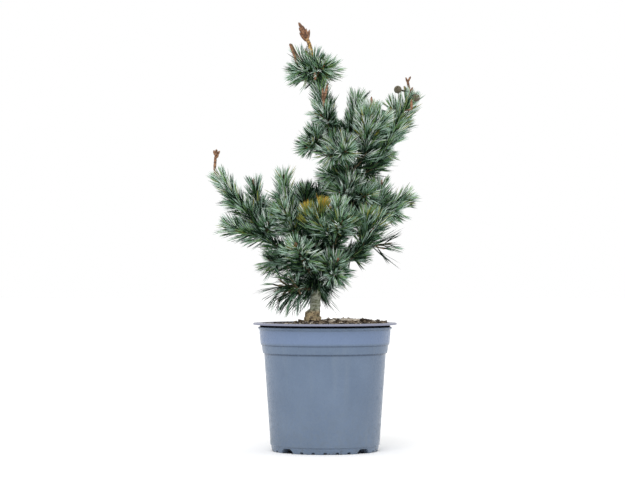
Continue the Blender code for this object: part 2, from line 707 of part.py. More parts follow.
def build_limbs(limbs, material):
    """The trunk, its clearance for cutting, and each bough seated on it."""
    trunk = limbs["trunk"]
    body = add_object("trunk", limb(trunk.path, trunk.radii, TRUNK_SIDES, Vector((0, 0, 1))), material)
    smooth(body, 60)
    wider = [radius + GAP for radius in trunk.radii]
    tip, ahead = trunk.end()
    stretched = [trunk.path[0] - Vector((0, 0, CUT_BELOW))] + trunk.path[1:-1] + [tip + ahead * GAP]
    clearance = add_object("trunk_clearance", limb(stretched, wider, TRUNK_SIDES, Vector((0, 0, 1))))
    for name in BOUGHS:
        one = limbs[name]
        bough = add_object("bough_" + name, limb(one.path, one.radii, BOUGH_SIDES), material)
        cut_away(bough, clearance)
        keep_largest(bough)
        smooth(bough, 60)
    return clearance


def build_masses(limbs, clearance, green, yellow):
    masses = plan_shoots(limbs)
    for name, shoots in masses.items():
        space = Space(name, masses, limbs)
        rule = random.Random(SEED + 7 * sum(ord(letter) for letter in name))
        pieces = []
        for shoot in shoots:
            roomy = [min(r, space.room_round(point)) for r, point in zip(shoot.radii, shoot.path)]
            radii = [shoot.radii[0]] + [max(radius, CORE_TIP_RADIUS) for radius in roomy[1:]]
            pieces.append(limb(shoot.path, radii, SHOOT_SIDES, shoot.first_heading))
            if shoot.candle:
                pieces += candle_pieces(shoot)
        for root, tip in plan_needles(shoots, space, rule):
            pieces.append(spike(root, tip, NEEDLE_RADIUS))
        cutter = clearance if on_trunk_side(MASSES[name][0]) else None
        fuse("mass_" + name, pieces, yellow if name == "yellow" else green, cutter)


def main():
    clear_scene()
    bark = make_material("bark", BARK_COLOR, 0.85)
    green = make_material("needles", NEEDLE_COLOR, 0.55)
    yellow = make_material("yellow_needles", YELLOW_COLOR, 0.55)
    build_pot(make_material("pot_plastic", POT_COLOR, 0.45))
    build_soil(make_material("bark_chips", SOIL_COLOR, 0.95))
    limbs = plan_limbs()
    clearance = build_limbs(limbs, bark)
    build_masses(limbs, clearance, green, yellow)
    bpy.data.objects.remove(clearance)


main()
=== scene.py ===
# A young five-needle pine in its round nursery pot, set up for a portrait.
# Metres, +Z up. The origin is the centre of the pot's underside, and -Y is the front.

import math
import random

import bpy
import numpy as np
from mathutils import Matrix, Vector, noise


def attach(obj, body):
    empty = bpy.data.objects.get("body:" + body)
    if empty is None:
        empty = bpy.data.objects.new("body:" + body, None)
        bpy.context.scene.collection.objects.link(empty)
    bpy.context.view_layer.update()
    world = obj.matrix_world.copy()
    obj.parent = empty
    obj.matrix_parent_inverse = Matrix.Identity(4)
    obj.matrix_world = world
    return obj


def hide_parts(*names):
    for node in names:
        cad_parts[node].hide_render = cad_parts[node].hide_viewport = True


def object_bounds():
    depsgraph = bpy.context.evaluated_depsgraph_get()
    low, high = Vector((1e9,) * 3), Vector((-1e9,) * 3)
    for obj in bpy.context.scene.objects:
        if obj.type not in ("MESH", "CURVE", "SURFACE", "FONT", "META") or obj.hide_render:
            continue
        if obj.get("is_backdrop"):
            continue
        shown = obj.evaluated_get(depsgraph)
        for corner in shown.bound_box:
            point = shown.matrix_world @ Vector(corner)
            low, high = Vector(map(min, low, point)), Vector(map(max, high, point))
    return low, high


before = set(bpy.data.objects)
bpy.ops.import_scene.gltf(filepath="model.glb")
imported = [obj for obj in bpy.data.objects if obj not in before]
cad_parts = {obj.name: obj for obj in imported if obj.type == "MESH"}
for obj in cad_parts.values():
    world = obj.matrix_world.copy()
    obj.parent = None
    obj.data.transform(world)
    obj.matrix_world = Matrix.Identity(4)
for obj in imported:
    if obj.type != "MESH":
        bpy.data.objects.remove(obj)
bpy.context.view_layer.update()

# The pot
# A round nursery pot, moulded in one piece from blue-grey plastic: a taper with two stepped bands
# to stack by, a lip rolled outwards and down, and a foot broken by drain gaps and air notches.
POT_SIDES = 128
POT_SECTION = (
    (0.0870, 0.0000), (0.0879, 0.0008), (0.0894, 0.0057), (0.0896, 0.0097), (0.0904, 0.0104),
    (0.0912, 0.0112), (0.0960, 0.0810), (0.1008, 0.1500), (0.1015, 0.1618), (0.1018, 0.1627),
    (0.1035, 0.1633), (0.1041, 0.1645), (0.1050, 0.1700), (0.1059, 0.1762), (0.1061, 0.1769),
    (0.1072, 0.1774), (0.1076, 0.1785), (0.1094, 0.1960), (0.1095, 0.2020), (0.1099, 0.2030),
    (0.1113, 0.2036), (0.1118, 0.2044), (0.1118, 0.2063), (0.1110, 0.2070), (0.1094, 0.2072),
    (0.1086, 0.2076), (0.1086, 0.2114), (0.1092, 0.2122), (0.1180, 0.2122), (0.1185, 0.2119),
    (0.1186, 0.2112), (0.1192, 0.2105), (0.1198, 0.2107), (0.1200, 0.2113), (0.1200, 0.2128),
    (0.1195, 0.2137), (0.1186, 0.2140),
    (0.1080, 0.2140), (0.1073, 0.2134), (0.1068, 0.2040), (0.1052, 0.2005), (0.1030, 0.1760),
    (0.0988, 0.1600), (0.0886, 0.0130), (0.0852, 0.0092),
)
# Gaps in the foot: turn in each quarter, width at the bottom and at the top, depth, height
DRAIN_CUT = (45, 0.0350, 0.0150, 0.056, 0.0080)
NOTCH_CUTS = [(turn, 0.0062, 0.0050, 0.014, 0.0036) for turn in (-26, -13, 0, 13, 26)]
# How far out from the pot's axis the gaps reach
CUT_EDGE = 0.094
# How round a gap's edges are, as a share of its width or height
CUT_ROUNDING = 0.3
# Edges that bend by less, in degrees, are shaded smooth
SMOOTH_BELOW = 32
# The deep groove under the lip, whose faces get a near-black material as painted shade: out from the pot's
# axis, and up
GROOVE_RADII = (0.1080, 0.1112)
GROOVE_HEIGHTS = (0.2070, 0.2121)
# Painted shade: dark lines under the steps of the bands and under the lip, where they overhang: from, to and
# strength, and how softly they end
PAINTED_SHADE_LINES = ((0.1605, 0.1645, 0.55), (0.1755, 0.1782, 0.55), (0.2020, 0.2036, 0.5))
LINE_EDGE = 0.0010
# Heights at which a lighter tone on the wall starts and is whole, painted light: on the lip, then at the foot
# and the top of the upper band
LIP_PAINTED_LIGHT = (0.2084, 0.2102)
BAND_LIGHT_FOOT = (0.1790, 0.1815)
BAND_LIGHT_TOP = (0.2020, 0.2002)
DUST = (0.120, 0.010)
MUD = (0.0085, 0.0010)


def open_ring(name, sides, radius, height):
    """A ring of edges in edit mode, ready to be drawn up into a shell."""
    bpy.ops.object.select_all(action="DESELECT")
    bpy.ops.mesh.primitive_circle_add(
        vertices=sides, radius=radius, fill_type="NOTHING", location=(0, 0, height))
    bpy.ops.object.transform_apply(location=True)
    bpy.ops.object.mode_set(mode="EDIT")
    bpy.ops.mesh.select_all(action="SELECT")
    bpy.context.object.name = name
    return bpy.context.object


def draw_up(section):
    """Draws the ring up through the radii and heights of a section."""
    for (radius, height), (wider, higher) in zip(section, section[1:]):
        bpy.ops.mesh.extrude_edges_move(TRANSFORM_OT_translate={"value": (0, 0, higher - height)})
        bpy.ops.transform.resize(value=(wider / radius, wider / radius, 1), center_override=(0, 0, 0))


def close_shell():
    """Closes the shell at both ends, turns its faces outwards and leaves edit mode."""
    bpy.ops.mesh.edge_face_add()
    bpy.ops.mesh.select_all(action="DESELECT")
    bpy.ops.mesh.select_non_manifold()
    bpy.ops.mesh.edge_face_add()
    bpy.ops.mesh.select_all(action="SELECT")
    bpy.ops.mesh.normals_make_consistent(inside=False)
    bpy.ops.object.mode_set(mode="OBJECT")


pot = open_ring("nursery_pot", POT_SIDES, *POT_SECTION[0])
draw_up(POT_SECTION)
close_shell()

cutters = []
for quarter in range(4):
    for place, wide, narrow, deep, high in [DRAIN_CUT] + NOTCH_CUTS:
        turn = math.radians(90 * quarter + place)
        middle = CUT_EDGE - deep / 2
        spot = (middle * math.cos(turn), middle * math.sin(turn), 0)
        size = (deep, wide, 2 * high)
        bpy.ops.mesh.primitive_cube_add(size=1, location=spot, rotation=(0, 0, turn), scale=size)
        bpy.ops.object.transform_apply(location=True, rotation=True, scale=True)
        bpy.ops.object.mode_set(mode="EDIT")
        bpy.ops.mesh.select_all(action="SELECT")
        bpy.ops.mesh.bevel(offset=min(narrow, high) * CUT_ROUNDING, segments=3, affect="EDGES")
        bpy.ops.mesh.select_all(action="DESELECT")
        bpy.ops.object.mode_set(mode="OBJECT")
        along_cut = Vector((-math.sin(turn), math.cos(turn), 0))
        for corner in bpy.context.object.data.vertices:
            rise = min(1.0, max(0.0, corner.co.z / high))
            offset = (corner.co - Vector(spot)).dot(along_cut)
            corner.co += along_cut * offset * rise * (narrow / wide - 1)
        cutters.append(bpy.context.object)
for cutter in cutters:
    cutter.select_set(True)
bpy.ops.object.join()
cutter = bpy.context.object
bpy.ops.object.select_all(action="DESELECT")
bpy.context.view_layer.objects.active = pot
pot.select_set(True)
cut = pot.modifiers.new("drain gaps", "BOOLEAN")
cut.operation = "DIFFERENCE"
cut.object = cutter
bpy.ops.object.modifier_apply(modifier=cut.name)
bpy.data.objects.remove(cutter, do_unlink=True)
bpy.ops.object.shade_smooth_by_angle(angle=math.radians(SMOOTH_BELOW))
even = pot.modifiers.new("even shading", "WEIGHTED_NORMAL")
even.keep_sharp = True
bpy.ops.object.modifier_apply(modifier=even.name)


def tone(*screen):
    """A colour given as it looks on a screen, 0 to 255, in the linear light that shaders use."""
    return (*(((c / 255 + 0.055) / 1.055) ** 2.4 if c > 10 else c / 3295 for c in screen), 1)


def node(tree, kind, sockets=None, **settings):
    """A shader node with its settings and its open sockets set."""
    made = tree.nodes.new(kind)
    for name, value in settings.items():
        setattr(made, name, value)
    for name, value in (sockets or {}).items():
        made.inputs[name].default_value = value
    return made


def feed(tree, socket, value):
    """Links a socket to another one, or sets it to a plain value."""
    if isinstance(value, bpy.types.NodeSocket):
        tree.links.new(value, socket)
    else:
        socket.default_value = value


def mixed(tree, share, first, second):
    """A mix of two colours by a share."""
    made = node(tree, "ShaderNodeMix", data_type="RGBA")
    for socket, value in ((0, share), (6, first), (7, second)):
        feed(tree, made.inputs[socket], value)
    return made.outputs[2]


def product(tree, first, second):
    made = node(tree, "ShaderNodeMath", operation="MULTIPLY")
    feed(tree, made.inputs[0], first)
    feed(tree, made.inputs[1], second)
    return made.outputs[0]


def rise_of(tree, value, low, high, top=1.0):
    """How far a value has come from low to high, as a share that ends at top."""
    made = node(tree, "ShaderNodeMapRange", {"From Min": low, "From Max": high, "To Max": top})
    tree.links.new(value, made.inputs["Value"])
    return made.outputs["Result"]


def layered(tree, colour, *layers):
    """A colour with tones laid over it: a mask, where it starts and is whole, the strength, the tone."""
    for mask, low, high, strength, over in layers:
        colour = mixed(tree, rise_of(tree, mask, low, high, strength), colour, tone(*over))
    return colour


def mottle_group():
    """Clouds, and grain nine times finer, that fall where the piece is, for plastic, bark and chips."""
    group = bpy.data.node_groups.new("mottle", "ShaderNodeTree")
    for name, way, kind in (("Scale", "INPUT", "Float"), ("Stretch", "INPUT", "Vector"),
                            ("Cloud", "OUTPUT", "Float"), ("Grain", "OUTPUT", "Float")):
        group.interface.new_socket(name, in_out=way, socket_type="NodeSocket" + kind)
    given = node(group, "NodeGroupInput")
    result = node(group, "NodeGroupOutput")
    place = node(group, "ShaderNodeTexCoord")
    stretched = node(group, "ShaderNodeVectorMath", operation="MULTIPLY")
    group.links.new(place.outputs["Object"], stretched.inputs[0])
    group.links.new(given.outputs["Stretch"], stretched.inputs[1])
    for name, finer, detail, roughness in (("Cloud", 1.0, 4.0, 0.55), ("Grain", 9.0, 5.0, 0.6)):
        pattern = node(group, "ShaderNodeTexNoise", {"Detail": detail, "Roughness": roughness})
        group.links.new(stretched.outputs[0], pattern.inputs["Vector"])
        group.links.new(product(group, given.outputs["Scale"], finer), pattern.inputs["Scale"])
        group.links.new(pattern.outputs["Fac"], result.inputs[name])
    return group


mottle = mottle_group()


def mottled(tree, scale, stretch=(1, 1, 1)):
    """The mottle group at a scale, in patches per metre, and a stretch."""
    made = node(tree, "ShaderNodeGroup", node_tree=mottle)
    made.inputs["Scale"].default_value = scale
    made.inputs["Stretch"].default_value = stretch
    return made.outputs["Cloud"], made.outputs["Grain"]


def material_called(name):
    """A new material, its node tree and its Principled shader."""
    made = bpy.data.materials.new(name)
    made.use_nodes = True
    return made, made.node_tree, made.node_tree.nodes["Principled BSDF"]


def height_in(tree):
    """The height over the floor."""
    place = node(tree, "ShaderNodeSeparateXYZ")
    tree.links.new(node(tree, "ShaderNodeTexCoord").outputs["Object"], place.inputs[0])
    return place.outputs["Z"]


def surface(tree, shader, colour, roughness, shine=0.5):
    """Colour, roughness and shine of a shader, each plain or from a socket."""
    for name, value in (("Base Color", colour), ("Roughness", roughness), ("Specular IOR Level", shine)):
        feed(tree, shader.inputs[name], value)


def raised(tree, shader, height, strength, distance):
    bump = node(tree, "ShaderNodeBump", {"Strength": strength, "Distance": distance})
    tree.links.new(height, bump.inputs["Height"])
    tree.links.new(bump.outputs["Normal"], shader.inputs["Normal"])


plastic, tree, shader = material_called("blue_grey_plastic")
up_wall = height_in(tree)
cloud, grain = mottled(tree, 16.0)
# The lighter vertical streaks on the wall are painted sheen, placed by stretched noise.
sheen_streaks, scuffs = mottled(tree, 55.0, (1, 1, 0.10))
colour = layered(
    tree, tone(98, 114, 136),
    (cloud, 0.30, 0.70, 1.0, (108, 124, 146)),
    (sheen_streaks, 0.52, 0.78, 0.30, (124, 136, 148)),
    (scuffs, 0.66, 0.80, 0.30, (82, 94, 110)))
dusty = product(tree, rise_of(tree, up_wall, *DUST, 0.45), rise_of(tree, grain, 0.35, 0.65))
colour = mixed(tree, dusty, colour, tone(102, 112, 122))
muddy = product(tree, rise_of(tree, up_wall, *MUD), rise_of(tree, grain, 0.56, 0.62, 0.85))
colour = mixed(tree, muddy, colour, tone(66, 60, 54))
# Painted shade: a dark line under each step of the bands and under the lip's ledge.
for low, high, strength in PAINTED_SHADE_LINES:
    over_low = rise_of(tree, up_wall, low, low + LINE_EDGE)
    under_high = rise_of(tree, up_wall, high, high - LINE_EDGE)
    line = product(tree, product(tree, over_low, under_high), strength)
    colour = mixed(tree, line, colour, tone(62, 74, 92))
# Painted light: the lip is a lighter lilac-grey, as where light catches the rolled lip.
colour = mixed(tree, rise_of(tree, up_wall, *LIP_PAINTED_LIGHT), colour, tone(132, 135, 154))
# Painted light: the upper band between the steps and the lip is lighter and bluer, as where it catches the
# light.
painted_light_band = product(tree, rise_of(tree, up_wall, *BAND_LIGHT_FOOT), rise_of(tree, up_wall, *BAND_LIGHT_TOP))
colour = mixed(tree, product(tree, painted_light_band, 0.7), colour, tone(114, 132, 164))
surface(tree, shader, colour, rise_of(tree, grain, 0.2, 0.8, 0.62), 0.22)
fine = node(tree, "ShaderNodeTexNoise", {"Scale": 900.0, "Detail": 2.0})
tree.links.new(node(tree, "ShaderNodeTexCoord").outputs["Object"], fine.inputs["Vector"])
raised(tree, shader, fine.outputs["Fac"], 0.12, 0.0004)
# Painted shade: the faces in the groove under the lip get a near-black, unshiny material that stands in for
# the shadow there.
groove, tree, shader = material_called("painted_shade_in_groove")
cloud, grain = mottled(tree, 30.0)
surface(tree, shader, layered(tree, tone(10, 13, 18), (cloud, 0.30, 0.70, 1.0, (26, 31, 38))), 0.9, 0.0)
pot.data.materials.clear()
pot.data.materials.append(plastic)
pot.data.materials.append(groove)
for face in pot.data.polygons:
    out = math.hypot(face.center.x, face.center.y)
    in_groove = GROOVE_RADII[0] < out < GROOVE_RADII[1]
    if in_groove and GROOVE_HEIGHTS[0] < face.center.z < GROOVE_HEIGHTS[1]:
        face.material_index = 1
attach(pot, "root")
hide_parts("pot")

# The bark chips
# Composted bark fills the pot and is mounded to the right of the stem: a dark bed that packs the pot,
# loose chips lying every way on it, and one long strip of bark with a dark lump lying on top.
BED_SECTION = ((0.0876, 0.0140), (0.0980, 0.1600), (0.1022, 0.1760), (0.1044, 0.2000), (0.1054, 0.2086))
BED_MOUND_HEIGHT = 0.0088
BED_RINGS = (0.88, 0.74, 0.60, 0.46, 0.32, 0.18, 0.06)
SOIL_EDGE_HEIGHT = 0.2112
SOIL_MOUND_HEIGHT = 0.0092
SOIL_MOUND_PLACE = (0.034, -0.004)
SOIL_MOUND_SPREAD = 0.050
SOIL_TOP_HEIGHT = 0.2190
FOOT_HEIGHT = 0.2155
CHIP_COUNT = 6400
CHIP_REACH = 0.1035
CHIP_LENGTH = 0.0053
CHIP_LONGEST = 0.0105
CHIP_SEED = 11
CHIP_SPREAD = 0.40
# Where the wall starts, and how fast the chips get shorter towards it
CHIP_WALL = 0.1064
CHIP_WALL_SLOPE = 1.8
# Width and thickness as shares of the length, and how high a chip's middle lies on the mound
CHIP_WIDTHS = (0.35, 0.70)
CHIP_THICKNESSES = (0.14, 0.34)
CHIP_LIFTS = (-0.0030, -0.0006)
CHIP_TILT = 0.24
CHIP_UNEVENNESS = 0.20
# The three kinds: odds, darker and lighter tone, and the chips laid one by one as place, size and turns
CHIP_KINDS = {
    "dark_chips": (0.54, (36, 29, 23), (76, 64, 53), (
        ((0.0650, -0.036, 0.2178), (0.0130, 0.0090, 0.0060), (0.2, 0.1, 0.4)),
        ((0.0800, -0.030, 0.2146), (0.0060, 0.0050, 0.0036), (0.1, 0.2, 1.1)),
        ((0.0930, -0.022, 0.2128), (0.0130, 0.0060, 0.0030), (0.1, -0.1, 0.2)))),
    "brown_chips": (0.32, (88, 75, 61), (140, 126, 108), (
        ((-0.0380, -0.016, 0.2165), (0.0100, 0.0070, 0.0040), (0.2, 0.1, 0.9)),)),
    "pale_chips": (0.14, (162, 150, 134), (224, 214, 200), (
        ((0.0450, -0.038, 0.2184), (0.0330, 0.0060, 0.0034), (0.5, 0.05, 0.06)),
        ((0.0120, -0.050, 0.2166), (0.0140, 0.0060, 0.0030), (0.3, -0.10, 0.70)))),
}

bed = open_ring("chip_bed", 64, *BED_SECTION[0])
draw_up(BED_SECTION)
top_radius, level_edge = BED_SECTION[-1]
level, share = level_edge, 1.0
for ring in BED_RINGS:
    mound = math.exp(-((top_radius * ring) ** 2) / (2 * SOIL_MOUND_SPREAD ** 2))
    higher = level_edge + BED_MOUND_HEIGHT * mound
    over = [axis * (share - ring) for axis in SOIL_MOUND_PLACE]
    middle = [axis * (1 - ring) for axis in SOIL_MOUND_PLACE]
    bpy.ops.mesh.extrude_edges_move(TRANSFORM_OT_translate={"value": (*over, higher - level)})
    bpy.ops.transform.resize(value=(ring / share, ring / share, 1), center_override=(*middle, higher))
    share, level = ring, higher
close_shell()
bpy.ops.object.shade_smooth()


def mottled_material(name, scale, ground, clouds, grains, roughness, shine, depth):
    """A ground with clouds and grain laid over it, and relief from the grain."""
    made, tree, shader = material_called(name)
    cloud, grain = mottled(tree, scale)
    colour = layered(tree, tone(*ground), (cloud, *clouds), (grain, *grains))
    surface(tree, shader, colour, roughness, shine)
    raised(tree, shader, grain, 0.5, depth)
    return made


def chip_material(name, dark, light):
    crumbs = (0.52, 0.70, 0.6, (30, 24, 18))
    return mottled_material(name, 150.0, dark, (0.32, 0.68, 1.0, light), crumbs, 0.9, 0.2, 0.0005)


bed.data.materials.append(chip_material("damp_bark_crumb", (36, 28, 22), (70, 56, 44)))
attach(bed, "root")
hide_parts("soil")


def mesh_piece(name, corners, loops, starts, materials, shades=None, smooth=False):
    """One object from arrays: corner places, the corners of each face in turn, where each face starts."""
    mesh = bpy.data.meshes.new(name)
    mesh.vertices.add(len(corners))
    mesh.vertices.foreach_set("co", np.asarray(corners, np.float32).ravel())
    mesh.loops.add(len(loops))
    mesh.loops.foreach_set("vertex_index", np.asarray(loops, np.int32))
    mesh.polygons.add(len(starts))
    mesh.polygons.foreach_set("loop_start", np.asarray(starts, np.int32))
    for made in materials:
        mesh.materials.append(made)
    if shades is not None:
        mesh.polygons.foreach_set("material_index", np.asarray(shades, np.int32))
    mesh.update(calc_edges=True)
    if smooth:
        mesh.shade_smooth()
    else:
        mesh.shade_flat()
    piece = bpy.data.objects.new(name, mesh)
    bpy.context.scene.collection.objects.link(piece)
    return piece


def soil_height(x, y):
    px, py = SOIL_MOUND_PLACE
    reach = ((x - px) ** 2 + (y - py) ** 2) / (2 * SOIL_MOUND_SPREAD ** 2)
    return np.minimum(SOIL_TOP_HEIGHT, SOIL_EDGE_HEIGHT + SOIL_MOUND_HEIGHT * np.exp(-reach))


def turned_by(angles):
    """Turning matrices for rows of angles about X, then Y, then Z."""
    cx, cy, cz = np.cos(angles).T
    sx, sy, sz = np.sin(angles).T
    rows = [[cz * cy, cz * sy * sx - sz * cx, cz * sy * cx + sz * sx],
            [sz * cy, sz * sy * sx + cz * cx, sz * sy * cx - cz * sx],
            [-sy, cy * sx, cy * cx]]
    return np.moveaxis(np.array(rows), 2, 0)


CHIP_CORNERS = np.array([(x, y, z) for z in (-0.5, 0.5) for y in (-0.5, 0.5) for x in (-0.5, 0.5)])
CHIP_FACES = np.array([(0, 2, 3, 1), (4, 5, 7, 6), (0, 1, 5, 4), (2, 6, 7, 3), (0, 4, 6, 2), (1, 3, 7, 5)])


def chips_at(places, sizes, angles, dice):
    """Split chips as bent six-faced splinters: their corners and the corners of their faces."""
    shape = CHIP_CORNERS[None] + dice.uniform(-CHIP_UNEVENNESS, CHIP_UNEVENNESS, (len(places), 8, 3))
    corners = np.einsum("nij,nkj->nki", turned_by(angles), shape * sizes[:, None, :]) + places[:, None, :]
    loops = CHIP_FACES[None] + 8 * np.arange(len(places))[:, None, None]
    return corners.reshape(-1, 3), loops.ravel()


dice = np.random.default_rng(CHIP_SEED)
away = CHIP_REACH * np.sqrt(dice.random(CHIP_COUNT))
round_pot = dice.uniform(0, 2 * math.pi, CHIP_COUNT)
long = CHIP_LENGTH * np.exp(dice.normal(0, CHIP_SPREAD, CHIP_COUNT))
long = np.minimum(long, np.minimum(CHIP_LONGEST, CHIP_WALL_SLOPE * (CHIP_WALL - away)))
chip_x, chip_y = away * np.cos(round_pot), away * np.sin(round_pot)
lift = dice.uniform(*CHIP_LIFTS, CHIP_COUNT)
chip_places = np.stack([chip_x, chip_y, soil_height(chip_x, chip_y) + lift], axis=1)
wide, thick = [long * dice.uniform(*span, CHIP_COUNT) for span in (CHIP_WIDTHS, CHIP_THICKNESSES)]
chip_sizes = np.stack([long, wide, thick], axis=1)
tilt = dice.normal(0, CHIP_TILT, (CHIP_COUNT, 2))
chip_angles = np.concatenate([tilt, dice.uniform(0, 2 * math.pi, (CHIP_COUNT, 1))], axis=1)
kinds = dice.choice(3, CHIP_COUNT, p=[row[0] for row in CHIP_KINDS.values()])
for number, (name, (_, dark, light, laid)) in enumerate(CHIP_KINDS.items()):
    loose = (chip_places, chip_sizes, chip_angles)
    rows = [np.concatenate([row[kinds == number], extra]) for row, extra in zip(loose, zip(*laid))]
    corners, loops = chips_at(*rows, dice)
    material = chip_material(name, dark, light)
    chips = mesh_piece(name, corners, loops, np.arange(0, len(loops), 4), [material])
    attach(chips, "root")
    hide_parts("soil")

# The trunk
# One leader on a graft: a swollen foot with scaly brown bark and a shoulder on the left, then a smooth
# grey-green stem with fine rings, slightly thicker at each whorl, that leans right and back again.
GAP = 0.0003
# Height over the foot, then across and deep
TRUNK_BENDS = (
    (0.000, -0.0206, 0.000), (0.011, -0.0202, 0.000), (0.018, -0.0170, 0.000), (0.049, -0.015, 0.000),
    (0.094, -0.016, -0.004), (0.116, -0.007, -0.002), (0.136, 0.011, 0.002),
    (0.161, 0.031, 0.005), (0.191, 0.043, 0.006), (0.223, 0.045, 0.005),
    (0.253, 0.038, 0.003), (0.283, 0.025, 0.002), (0.313, 0.012, 0.000),
    (0.343, 0.002, 0.000), (0.373, -0.005, 0.000), (0.403, -0.012, 0.000),
)
# Height over the foot and radius
TRUNK_GIRTHS = (
    (0.000, 0.0142), (0.006, 0.0138), (0.0105, 0.0130), (0.0140, 0.0112), (0.0175, 0.0090),
    (0.026, 0.0084), (0.040, 0.0084), (0.094, 0.0078), (0.161, 0.0068), (0.223, 0.0058), (0.283, 0.0046),
    (0.343, 0.0034), (0.403, 0.0026),
)
TRUNK_LENGTH = 0.403
TRUNK_SIDES = 40
TRUNK_RING = 0.0010
# Where the foot's plates start to fade and are gone, over the foot, and where its colour does, over the floor
GRAFT_TOP = (0.013, 0.021)
GRAFT_COLOUR = (0.2315, 0.2365)
UPPER_BARK = (0.300, 0.430)
# Relief: how high it stands and how many waves it has in a metre
PLATES = (0.0026, 190)
RINGS = (0.00045, (60, 60, 330))
PIMPLES = (0.00030, 620)
# The swelling at a whorl, how far it reaches along the stem, and the most that several make together
SWELLING = 0.0007
SWELLING_REACH = 0.004
MOST_SWELLING = 0.0011
# Below this radius the stem's relief fades with its girth
THIN_STEM = 0.006
# Each bough: height on the trunk, direction and rise at its foot and tip, length, radius at foot and tip
BOUGHS = {
    "left_outer": (0.092, (180, 176), (16, 44), 0.092, 0.0044, 0.0027),
    "left_inner": (0.106, (204, 196), (24, 62), 0.050, 0.0036, 0.0026),
    "left_back": (0.082, (146, 152), (10, 14), 0.062, 0.0038, 0.0026),
    "low_left": (0.058, (206, 200), (8, -4), 0.036, 0.0034, 0.0026),
    "front_left": (0.072, (250, 246), (18, 36), 0.058, 0.0036, 0.0026),
    "front_low": (0.052, (236, 222), (10, 0), 0.036, 0.0032, 0.0025),
    "front_right": (0.058, (298, 302), (16, 24), 0.050, 0.0035, 0.0026),
    "low_back": (0.068, (88, 80), (14, 26), 0.052, 0.0036, 0.0026),
    "right_back": (0.088, (40, 30), (12, 20), 0.064, 0.0038, 0.0026),
    "yellow": (0.100, (272, 262), (36, 60), 0.048, 0.0032, 0.0025),
    "back_left": (0.112, (116, 108), (34, 64), 0.068, 0.0038, 0.0026),
    "right_low": (0.075, (350, 342), (18, 44), 0.093, 0.0044, 0.0027),
    "centre_front": (0.112, (306, 298), (6, 30), 0.050, 0.0034, 0.0026),
    "right_mid": (0.163, (8, 4), (4, 24), 0.052, 0.0040, 0.0027),
    "back_mid": (0.174, (74, 66), (10, 26), 0.056, 0.0036, 0.0026),
    "right_upper": (0.236, (12, 4), (20, 58), 0.070, 0.0038, 0.0027),
    "right_inner": (0.248, (318, 330), (30, 60), 0.050, 0.0032, 0.0026),
    "back_right": (0.222, (50, 54), (20, 44), 0.060, 0.0034, 0.0026),
    "centre_upper": (0.270, (40, 10), (60, 82), 0.036, 0.0030, 0.0025),
    "left_upper": (0.284, (184, 182), (12, 22), 0.030, 0.0030, 0.0025),
    "back_upper": (0.276, (104, 98), (18, 44), 0.050, 0.0032, 0.0025),
}
BOUGH_STEPS = 4


def heading(direction, rise):
    turn, lift = math.radians(direction), math.radians(rise)
    return Vector((math.cos(turn) * math.cos(lift), math.sin(turn) * math.cos(lift), math.sin(lift)))


def grow(start, directions, rises, length, steps):
    """A path that turns evenly from its first heading to its last."""
    path = [start]
    for step in range(steps):
        part = (step + 0.5) / steps
        direction = directions[0] + (directions[1] - directions[0]) * part
        rise = rises[0] + (rises[1] - rises[0]) * part
        path.append(path[-1] + heading(direction, rise) * (length / steps))
    return path


def between(rows, height):
    """The two rows round a height, their neighbours, and the share of the way between them."""
    k = 0
    while k < len(rows) - 2 and height > rows[k + 1][0]:
        k += 1
    share = (height - rows[k][0]) / (rows[k + 1][0] - rows[k][0])
    return rows[max(k - 1, 0)], rows[k], rows[k + 1], rows[min(k + 2, len(rows) - 1)], share


def smooth_between(before, low, high, after, share):
    """A smooth curve's place between low and high, with the neighbours on both sides in mind."""
    bend = (2 * before - 5 * low + 4 * high - after) * share * share
    twist = (3 * low - before - 3 * high + after) * share ** 3
    return (2 * low + (high - before) * share + bend + twist) / 2


def trunk_point(height):
    """A smooth curve through the trunk's bends."""
    *rows, share = between(TRUNK_BENDS, height)
    x, y = [smooth_between(*(row[axis] for row in rows), share) for axis in (1, 2)]
    return Vector((x, y, FOOT_HEIGHT + GAP + height))


def trunk_radius(height):
    _, low, high, _, share = between(TRUNK_GIRTHS, height)
    return low[1] + (high[1] - low[1]) * share


def along(path, place):
    """The point at a share of a path's length, and the heading there."""
    step = min(int(place * (len(path) - 1)), len(path) - 2)
    part = place * (len(path) - 1) - step
    return path[step].lerp(path[step + 1], part), (path[step + 1] - path[step]).normalized()


def frames_of(path):
    """At each point of a path, the two directions square to it, carried along without a twist."""
    frames = []
    side = Vector((0.3, -1, 0))
    for k in range(len(path)):
        ahead = (path[min(k + 1, len(path) - 1)] - path[max(k - 1, 0)]).normalized()
        side = (side - ahead * side.dot(ahead)).normalized()
        frames.append((side, ahead.cross(side)))
    return frames


def rounded(path, spacing):
    """A smooth path through the same points, with a point at least every spacing."""
    fine = []
    last = len(path) - 1
    for k in range(last):
        before, low, high, after = path[max(k - 1, 0)], path[k], path[k + 1], path[min(k + 2, last)]
        steps = max(2, math.ceil((high - low).length / spacing))
        for step in range(steps):
            fine.append(smooth_between(before, low, high, after, step / steps))
    return fine + [path[last]]


class Bundle:
    """Corners and faces gathered from many small bodies, to be made one mesh."""

    def __init__(self):
        self.corners = []
        self.loops = []
        self.totals = []
        self.marks = []
        self.count = 0

    def add(self, corners, faces, marks=None):
        self.corners.append(np.asarray(corners, float))
        for face in faces:
            self.loops.extend(corner + self.count for corner in face)
            self.totals.append(len(face))
        self.marks.extend(marks if marks is not None else [0.0] * len(corners))
        self.count += len(corners)

    def piece(self, name, materials, smooth=True):
        starts = np.concatenate([[0], np.cumsum(self.totals)[:-1]])
        made = mesh_piece(name, np.concatenate(self.corners), self.loops, starts, materials, smooth=smooth)
        mark = made.data.attributes.new("along", "FLOAT", "POINT")
        mark.data.foreach_set("value", np.asarray(self.marks, np.float32))
        return made


